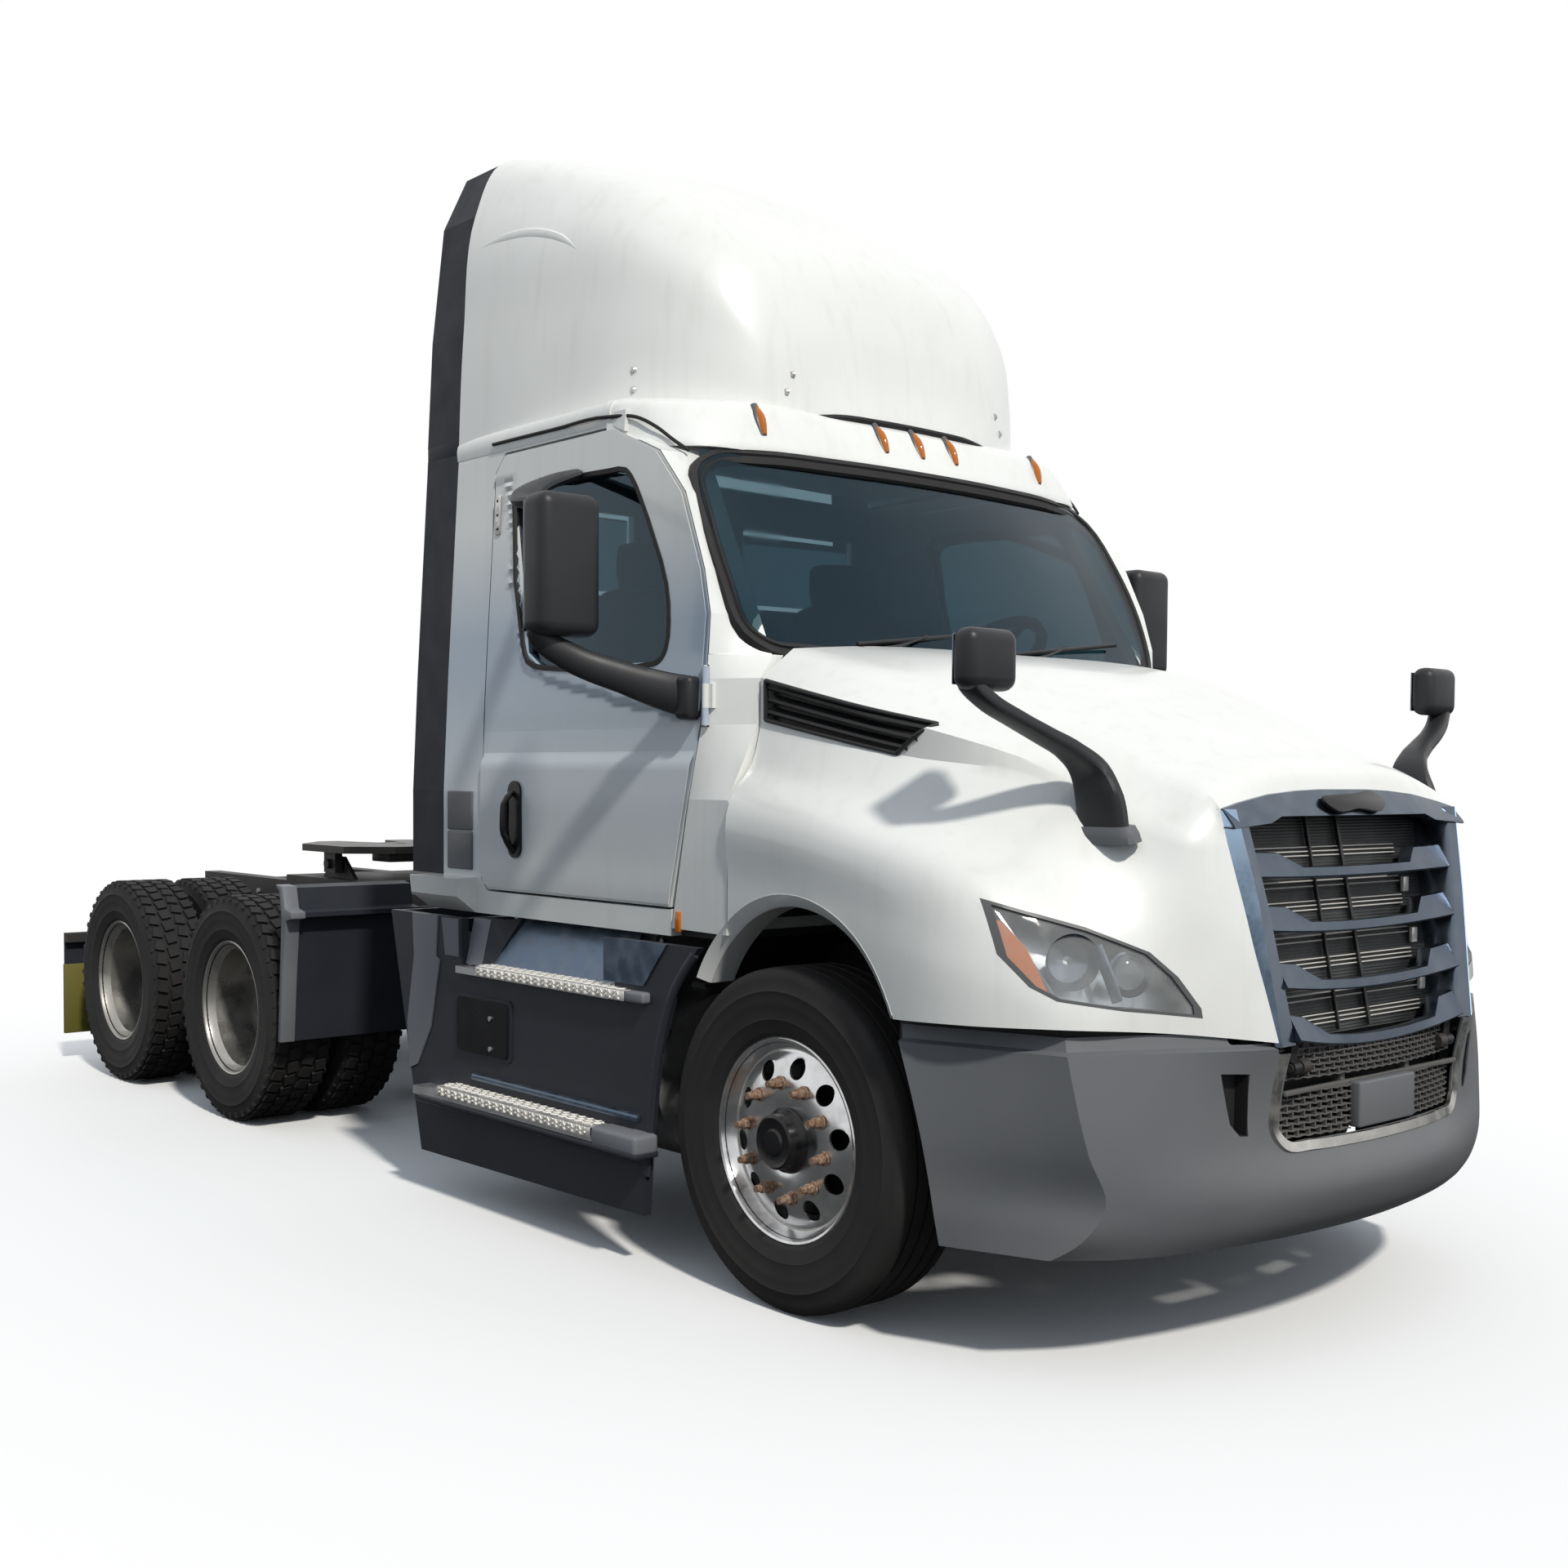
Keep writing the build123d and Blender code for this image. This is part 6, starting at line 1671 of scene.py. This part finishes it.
# %% Seats
def cushion(bm, middle, size, lean, bulge):
    """Stuffed block: a rounded box whose faces swell."""
    new = bmesh.new()
    bmesh.ops.create_cube(new, size=1.0)
    bmesh.ops.subdivide_edges(new, edges=new.edges[:], cuts=7, use_grid_fill=True)
    for vert in new.verts:
        vert.co = vert.co.lerp(vert.co.normalized() * 0.60, bulge)
    bmesh.ops.scale(new, vec=size, verts=new.verts[:])
    bmesh.ops.rotate(new, cent=(0, 0, 0), matrix=Matrix.Rotation(lean, 3, "Y"), verts=new.verts[:])
    bmesh.ops.translate(new, vec=middle, verts=new.verts[:])
    bmesh.ops.smooth_vert(new, verts=new.verts[:], factor=0.5, use_axis_x=True, use_axis_y=True,
                          use_axis_z=True)
    join(bm, new)


stuffing = bmesh.new()
for y in (-0.48, 0.48):
    cushion(stuffing, (at(-1.22), y, 1.555), (0.56, 0.52, 0.17), 0.0, 0.28)
    cushion(stuffing, (at(-1.455), y, 1.925), (0.15, 0.50, 0.66), math.radians(-6.5), 0.26)
    cushion(stuffing, (at(-1.505), y, 2.325), (0.11, 0.30, 0.20), math.radians(-5), 0.34)
    for shift in (-0.23, 0.23):
        cushion(stuffing, (at(-1.21), y + shift, 1.585), (0.50, 0.08, 0.14), 0.0, 0.36)
seats_made = piece(stuffing, "seat_cushions", fabric, "chassis", "seat_fabric", "seats")

# %% [markdown]
# ## Floor and light
# The truck stands on a pale floor that runs into a white backdrop. The backdrop shows as white to the camera
# and in reflections; the floor shows white to the camera and keeps the truck's shadow, and is dark like
# asphalt to other rays.

# %% Floor, world and lamps
bm = bmesh.new()
bmesh.ops.create_grid(bm, x_segments=1, y_segments=1, size=60.0)
floor_mesh = bpy.data.meshes.new("floor")
bm.to_mesh(floor_mesh)
bm.free()
floor = bpy.data.objects.new("floor", floor_mesh)
bpy.context.scene.collection.objects.link(floor)
ground = Finish("floor_paint", roughness=0.95, base_color=(0.93, 0.93, 0.93))
asphalt = ground.node("ShaderNodeBsdfDiffuse", {"Color": (0.10, 0.10, 0.10)}).wire("BSDF")
looked_at = ground.node("ShaderNodeLightPath").wire("Is Camera Ray")
paint = ground.surface.wire("BSDF")
both = ground.node("ShaderNodeMixShader", {0: looked_at, 1: asphalt, 2: paint}).wire("Shader")
spread = ground.node("ShaderNodeVectorMath", {0: ground.place((0.62, 1, 1))},
                     operation="LENGTH").wire("Value")
glow = ground.node("ShaderNodeEmission", {"Color": (1, 1, 1), "Strength": 1.0}).wire("Emission")
far_off = spread.above(2.0, 3.8) * looked_at
shown = ground.node("ShaderNodeMixShader", {0: far_off, 1: both, 2: glow}).wire("Shader")
ground.plug(ground.output.raw.inputs["Surface"], shown)
floor_mesh.materials.append(ground.material)

world = bpy.data.worlds.new("studio")
bpy.context.scene.world = world
studio = Graph(world)
rays = studio.node("ShaderNodeLightPath")
through = rays.wire("Is Transmission Ray").highest(rays.wire("Is Glossy Ray"))
seen = rays.wire("Is Camera Ray").highest(through)
soft = studio.node("ShaderNodeBackground", {"Color": (0.78, 0.88, 1.0), "Strength": 0.50}).wire("Background")
plain = studio.node("ShaderNodeBackground", {"Color": (1, 1, 1), "Strength": 1.0}).wire("Background")
backdrop = studio.node("ShaderNodeMixShader", {0: seen, 1: soft, 2: plain}).wire("Shader")
studio.node("ShaderNodeOutputWorld", {"Surface": backdrop})


def lamp(name, kind, energy, place, aim, **more):
    """A lamp at a place, looking at a point."""
    data = bpy.data.lights.new(name, kind)
    data.energy = energy
    for key, value in more.items():
        setattr(data, key, value)
    made = bpy.data.objects.new(name, data)
    made.location = place
    made.rotation_euler = (Vector(aim) - Vector(place)).to_track_quat("-Z", "Y").to_euler()
    bpy.context.scene.collection.objects.link(made)


lamp("sun", "SUN", 2.7, (9, -2.6, 9.5), (0, 0, 0), angle=math.radians(4), color=(1.0, 0.965, 0.90))
lamp("front_fill", "AREA", 40, (10, 1.5, 3.0), (2.5, 0, 1.5), size=5.0)
bpy.context.scene.view_settings.view_transform = "Standard"
print("studio ready")
